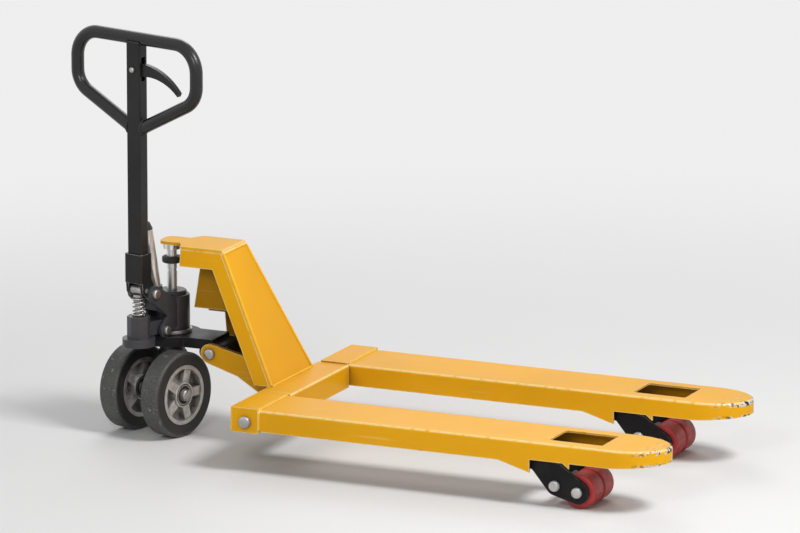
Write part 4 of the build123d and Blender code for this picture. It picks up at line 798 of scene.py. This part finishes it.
class JACK_OT_wheels(bpy.types.Operator):
    """Finish the steer wheels and the load rollers"""

    bl_idname = "jack.wheels"
    bl_label = "Finish wheels"

    def execute(self, context):
        for hand in HANDS:
            spin = JOINTS[f"{hand}_wheel_spin"]
            place = spin["pos_m"], spin["axis"]
            paint((f"{hand}_tyre",), tyre_rubber(f"{hand}_tyre_rubber", *place))
            paint((f"{hand}_wheel_hub",), cast_hub(f"{hand}_cast_hub", *place))
            paint((f"{hand}_wheel_bearings",), bearing_face(f"{hand}_bearing_face", *place))
        for name in ROLLER_NODES:
            spin = JOINTS[f"{name}_spin"]
            paint((name,), roller_tread(f"{name}_tread", spin["pos_m"], spin["axis"]))
        return {"FINISHED"}


class JACK_OT_return_spring(bpy.types.Operator):
    """Wind the plunger's return spring"""

    bl_idname = "jack.return_spring"
    bl_label = "Wind return spring"

    def execute(self, context):
        details = context.scene.jack_details
        low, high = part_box("plunger_spring")
        centre = (low + high) / 2
        coil = (high.x - low.x - details.spring_wire) / 2
        half = details.spring_wire / 2
        seat = details.spring_wire * SPRING_SEAT
        rise = high.z - low.z - 2 * half - 2 * seat
        open_turns = details.spring_turns
        points = []
        for step in range(round((open_turns + 2 * SPRING_FLAT) * SPRING_STEPS) + 1):
            turn = step / SPRING_STEPS
            below = min(turn / SPRING_FLAT, 1)
            share = min(max((turn - SPRING_FLAT) / open_turns, 0), 1)
            above = min(max((turn - SPRING_FLAT - open_turns) / SPRING_FLAT, 0), 1)
            points.append(Vector((
                centre.x + coil * cos(tau * turn),
                centre.y + coil * sin(tau * turn),
                low.z + half + seat * (below + above) + rise * share,
            )))
        made = piece(
            "return_spring",
            lambda build: tube(build, points, [half] * len(points), SPRING_SIDES),
            plated_steel("spring_steel", lift=1.25, rough=0.22), "pump")
        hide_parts("plunger_spring")
        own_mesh(made)
        return {"FINISHED"}


class JACK_OT_weld_beads(bpy.types.Operator):
    """Lay the weld beads of the head, the brackets and the handle loop"""

    bl_idname = "jack.weld_beads"
    bl_label = "Lay weld beads"

    def execute(self, context):
        details = context.scene.jack_details
        # Painted highlight: the yellow beads take a lighter copy of the enamel, pale along all
        # their edges and not darkened in corners.
        enamel = yellow_enamel("bead_enamel", lift=1.25, rubbed_and_highlight=1.0, dirt_and_shade=0.0)
        # These directions single out the front plate's upper and lower corners.
        crowns = [corner("head_front_plate", 1, 0.4 * side, 4) for side in SIDES]
        feet = [corner("head_front_plate", 4, side, -4) for side in SIDES]
        for side, crown, foot in zip(SIDES, crowns, feet):
            crown.y -= side * HEAD_SEAM_INSET * details.bead
            foot.y -= side * HEAD_SEAM_INSET * details.bead
        seams = {
            "right_head_seam": (crowns[0], feet[0]),
            "left_head_seam": (crowns[1], feet[1]),
            "crown_seam": crowns,
            "foot_seam": feet,
        }
        low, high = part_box("fork_brackets")
        for hand, side in zip(HANDS, SIDES):
            fork_low, fork_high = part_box(f"{hand}_fork")
            outer = fork_low.y if side < 0 else fork_high.y
            inner = fork_high.y if side < 0 else fork_low.y
            top = fork_high.z
            bend = FORK_BEND * side
            seams[f"{hand}_bracket_seam"] = [
                Vector((high.x, inner + bend, top)),
                Vector((high.x, outer - bend, top)),
                Vector((high.x, outer, top - FORK_BEND)),
                Vector((high.x, outer, low.z + FORK_BEND)),
            ]
        for seed, (name, path) in enumerate(seams.items()):
            piece(name, lambda build: bead(build, path, seed), enamel, "chassis")
        # Painted highlight: the loop's beads take a lighter black, with a steel colour along parts
        # of their edges.
        black = satin_black("bead_black", lift=1.8, worn_and_highlight=0.7, grain=300.0, depth=0.2, bright=0.3)
        for name, path in self.loop_seams(details).items():
            piece(name, lambda build: bead(build, path, len(path)), black, "handle")
        return {"FINISHED"}

    def loop_seams(self, details):
        """Round the loop's two legs on the shaft's sides, and along its bar on top."""
        reach = (corner("handle_socket", *UNIT_Y) - SHAFT_AXIS).dot(UNIT_Y)
        face = reach - details.socket_wall
        depth = (corner("handle_shaft", *UNIT_X) - SHAFT_AXIS).dot(UNIT_X)
        tall = details.loop_tube / cos(details.loop_rise)
        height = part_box("handle_loop")[0].z + tall
        seams = {}
        for name, side in (("near_leg_seam", -1), ("far_leg_seam", 1)):
            centre = SHAFT_AXIS + UNIT_Y * side * face + UP * height
            seams[name] = [
                centre + UNIT_X * details.loop_tube * cos(turn) + UP * tall * sin(turn)
                for turn in (tau * step / LEG_SEAM_STEPS for step in range(LEG_SEAM_STEPS + 1))
            ]
        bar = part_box("handle_loop")[1].z - details.loop_tube
        for name, side in (("front_bar_seam", -1), ("back_bar_seam", 1)):
            start = SHAFT_AXIS + UNIT_X * side * depth + UP * (bar - BAR_SEAM_DROP * details.bead)
            seams[name] = [start - UNIT_Y * face, start + UNIT_Y * face]
        return seams


class JACK_OT_pin_heads(bpy.types.Operator):
    """Crown the heads of the pins and axles"""

    bl_idname = "jack.pin_heads"
    bl_label = "Crown pin heads"

    def execute(self, context):
        crown = context.scene.jack_details.pin_crown
        steel = plated_steel("pin_crowns", lift=1.02, rough=0.24, soiling_and_shade=0.25)
        rocker = JOINTS["rocker_swing"]["pos_m"]
        groups = {
            "rocker_shaft": ("chassis", ACROSS, [(rocker, SHAFT_HEAD)]),
            "link_pin": ("rocker", ACROSS, [(middle("link_pin"), LINK_HEAD)]),
        }
        for hand in HANDS:
            axle = middle(f"{hand}_roller_axle")
            tie = corner(f"{hand}_frame_pins", 0, 0, -1) + UP * ROLLER_HEAD
            carrier = f"{hand}_roller_frame"
            groups[f"{hand}_roller_axle"] = (carrier, ACROSS, [(axle, ROLLER_HEAD)])
            groups[f"{hand}_frame_pins"] = (carrier, ACROSS, [(tie, ROLLER_HEAD)])
        cheek = corner("pivot_pins", 0, 0, -1) + UP * CHEEK_HEAD
        pivot = JOINTS["handle_tilt"]["pos_m"]
        groups["pivot_pins"] = ("pump", UNIT_Y, [(pivot, PIVOT_HEAD), (cheek, CHEEK_HEAD)])
        hub = JOINTS["left_wheel_spin"]["pos_m"]
        groups["wheel_axle"] = ("pump", UNIT_Y, [(hub, SHAFT_HEAD)])
        lever = JOINTS["lever_squeeze"]["pos_m"]
        groups["handle_pins"] = ("handle", UNIT_X, [(lever, LEVER_HEAD)])
        for node, (body, axis, heads) in groups.items():
            ends = [(corner(node, *(axis * side)).dot(axis), axis * side) for side in SIDES]

            def crowns(build):
                for place, radius in heads:
                    place = Vector(place)
                    profile = [(radius * wide, crown * high) for wide, high in CROWN_PROFILE]
                    for end, way in ends:
                        lathe(build, place + axis * (end - place.dot(axis)), way, profile)

            piece(f"{node}_crowns", crowns, steel, body)
        return {"FINISHED"}


class JACK_OT_guide_rod(bpy.types.Operator):
    """Set the thin guide rod beside the strut"""

    bl_idname = "jack.guide_rod"
    bl_label = "Set guide rod"

    def execute(self, context):
        details = context.scene.jack_details
        foot = middle("strut_cup")
        tip = middle("strut_cap")
        along = (tip - foot).normalized()
        side = UNIT_Y * details.guide_offset
        start = foot + side - along * ROD_FOOT
        end = tip + side * ROD_LEAN - along * ROD_SHORT
        length = (end - start).length
        steel = plated_steel("guide_steel", lift=0.9)
        radius = details.guide_rod
        shank = [(radius, 0), (radius, length), (0, length + radius * ROD_DOME)]
        widths = (radius * NUT_WIDTH, radius * NUT_WIDTH, radius, 0)
        nut = list(zip(widths, (0, *NUT_HEIGHTS)))

        def rod(build):
            lathe(build, start, end - start, shank, ROD_SIDES)
            lathe(build, end - along * NUT_DROP, along, nut, NUT_SIDES)

        piece("guide_rod", rod, steel, "pump")
        return {"FINISHED"}


class JACK_OT_stage(bpy.types.Operator):
    """Set the floor, the lamps and the camera"""

    bl_idname = "jack.stage"
    bl_label = "Set stage"

    def execute(self, context):
        scene = context.scene
        stage = scene.jack_stage
        scene.view_settings.view_transform = "Standard"
        mesh = bpy.data.meshes.new("floor")
        half = FLOOR_HALF
        corners = [(-half, -half, 0), (half, -half, 0), (half, half, 0), (-half, half, 0)]
        mesh.from_pydata(corners, [], [(0, 1, 2, 3)])
        mesh.materials.append(floor_finish("pale_floor", stage.floor))
        floor = bpy.data.objects.new("floor", mesh)
        scene.collection.objects.link(floor)
        # The steer wheels stand on the floor, so it keeps to them while the forks rise and sink.
        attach(floor, "thrust")
        self.light_world(scene, stage)
        for name, (size, place) in LAMPS.items():
            self.hang_lamp(scene, f"{name}_lamp", getattr(stage, name), size, place)
        self.set_camera(scene, stage)
        return {"FINISHED"}

    def light_world(self, scene, stage):
        world = bpy.data.worlds.new("studio")
        world.use_nodes = True
        scene.world = world
        tree = world.node_tree
        sky = tree.nodes["Background"]
        sky.inputs["Color"].default_value = (1, 1, 1, 1)
        path = tree.nodes.new("ShaderNodeLightPath")
        strength = tree.nodes.new("ShaderNodeMapRange")
        strength.inputs["To Min"].default_value = stage.ambient
        strength.inputs["To Max"].default_value = 1.0
        seen = strength.inputs["Value"]
        for ray in SEEN_RAYS[:-1]:
            either = tree.nodes.new("ShaderNodeMath")
            either.operation = "MAXIMUM"
            tree.links.new(either.outputs[0], seen)
            tree.links.new(path.outputs[ray], either.inputs[0])
            seen = either.inputs[1]
        tree.links.new(path.outputs[SEEN_RAYS[-1]], seen)
        tree.links.new(strength.outputs[0], sky.inputs["Strength"])

    def hang_lamp(self, scene, name, power, size, place):
        lamp = bpy.data.lights.new(name, "AREA")
        lamp.energy = power
        lamp.size = size
        made = bpy.data.objects.new(name, lamp)
        made.location = place
        aim = LAMP_AIM - Vector(place)
        made.rotation_euler = aim.to_track_quat("-Z", "Y").to_euler()
        scene.collection.objects.link(made)

    def set_camera(self, scene, stage):
        away = Vector((
            -sin(stage.azimuth) * cos(stage.elevation),
            cos(stage.azimuth) * cos(stage.elevation),
            -sin(stage.elevation),
        ))
        right = Vector((cos(stage.azimuth), sin(stage.azimuth), 0))
        above = right.cross(away)
        aim = STEER_AXIS + Vector(stage.target) + right * stage.slide[0] + above * stage.slide[1]
        lens = bpy.data.cameras.new("camera")
        lens.sensor_width = SENSOR_WIDTH
        lens.lens = SENSOR_WIDTH * stage.focal_pixels / PICTURE_WIDTH
        lens.clip_end = FAR_CLIP
        camera = bpy.data.objects.new("camera", lens)
        camera.matrix_world = Matrix.Translation(aim - away * stage.distance) @ Matrix(
            (right, above, -away)).transposed().to_4x4()
        scene.collection.objects.link(camera)
        scene.camera = camera


STEPS = (
    JACK_OT_chassis, JACK_OT_black_parts, JACK_OT_bright_parts, JACK_OT_wheels,
    JACK_OT_return_spring, JACK_OT_weld_beads, JACK_OT_pin_heads, JACK_OT_guide_rod,
    JACK_OT_stage,
)


class JACK_PT_dressing(bpy.types.Panel):
    """Lists the dressing steps in the sidebar"""

    bl_idname = "JACK_PT_dressing"
    bl_label = "Pallet jack"
    bl_space_type = "VIEW_3D"
    bl_region_type = "UI"
    bl_category = "Pallet jack"

    def draw(self, context):
        for step in STEPS:
            self.layout.operator(step.bl_idname)
        for group in ("jack_colours", "jack_details", "jack_stage"):
            settings = getattr(context.scene, group)
            for key in settings.__annotations__:
                self.layout.prop(settings, key)


GROUPS = {"jack_colours": JackColours, "jack_details": JackDetails, "jack_stage": JackStage}


def register():
    for group in (*GROUPS.values(), *STEPS, JACK_PT_dressing):
        bpy.utils.register_class(group)
    for name, group in GROUPS.items():
        setattr(bpy.types.Scene, name, PointerProperty(type=group))


def unregister():
    for name in GROUPS:
        delattr(bpy.types.Scene, name)
    for group in reversed((*GROUPS.values(), *STEPS, JACK_PT_dressing)):
        bpy.utils.unregister_class(group)


def main():
    register()
    for step in STEPS:
        family, name = step.bl_idname.split(".")
        getattr(getattr(bpy.ops, family), name)()


if __name__ == "__main__":
    main()
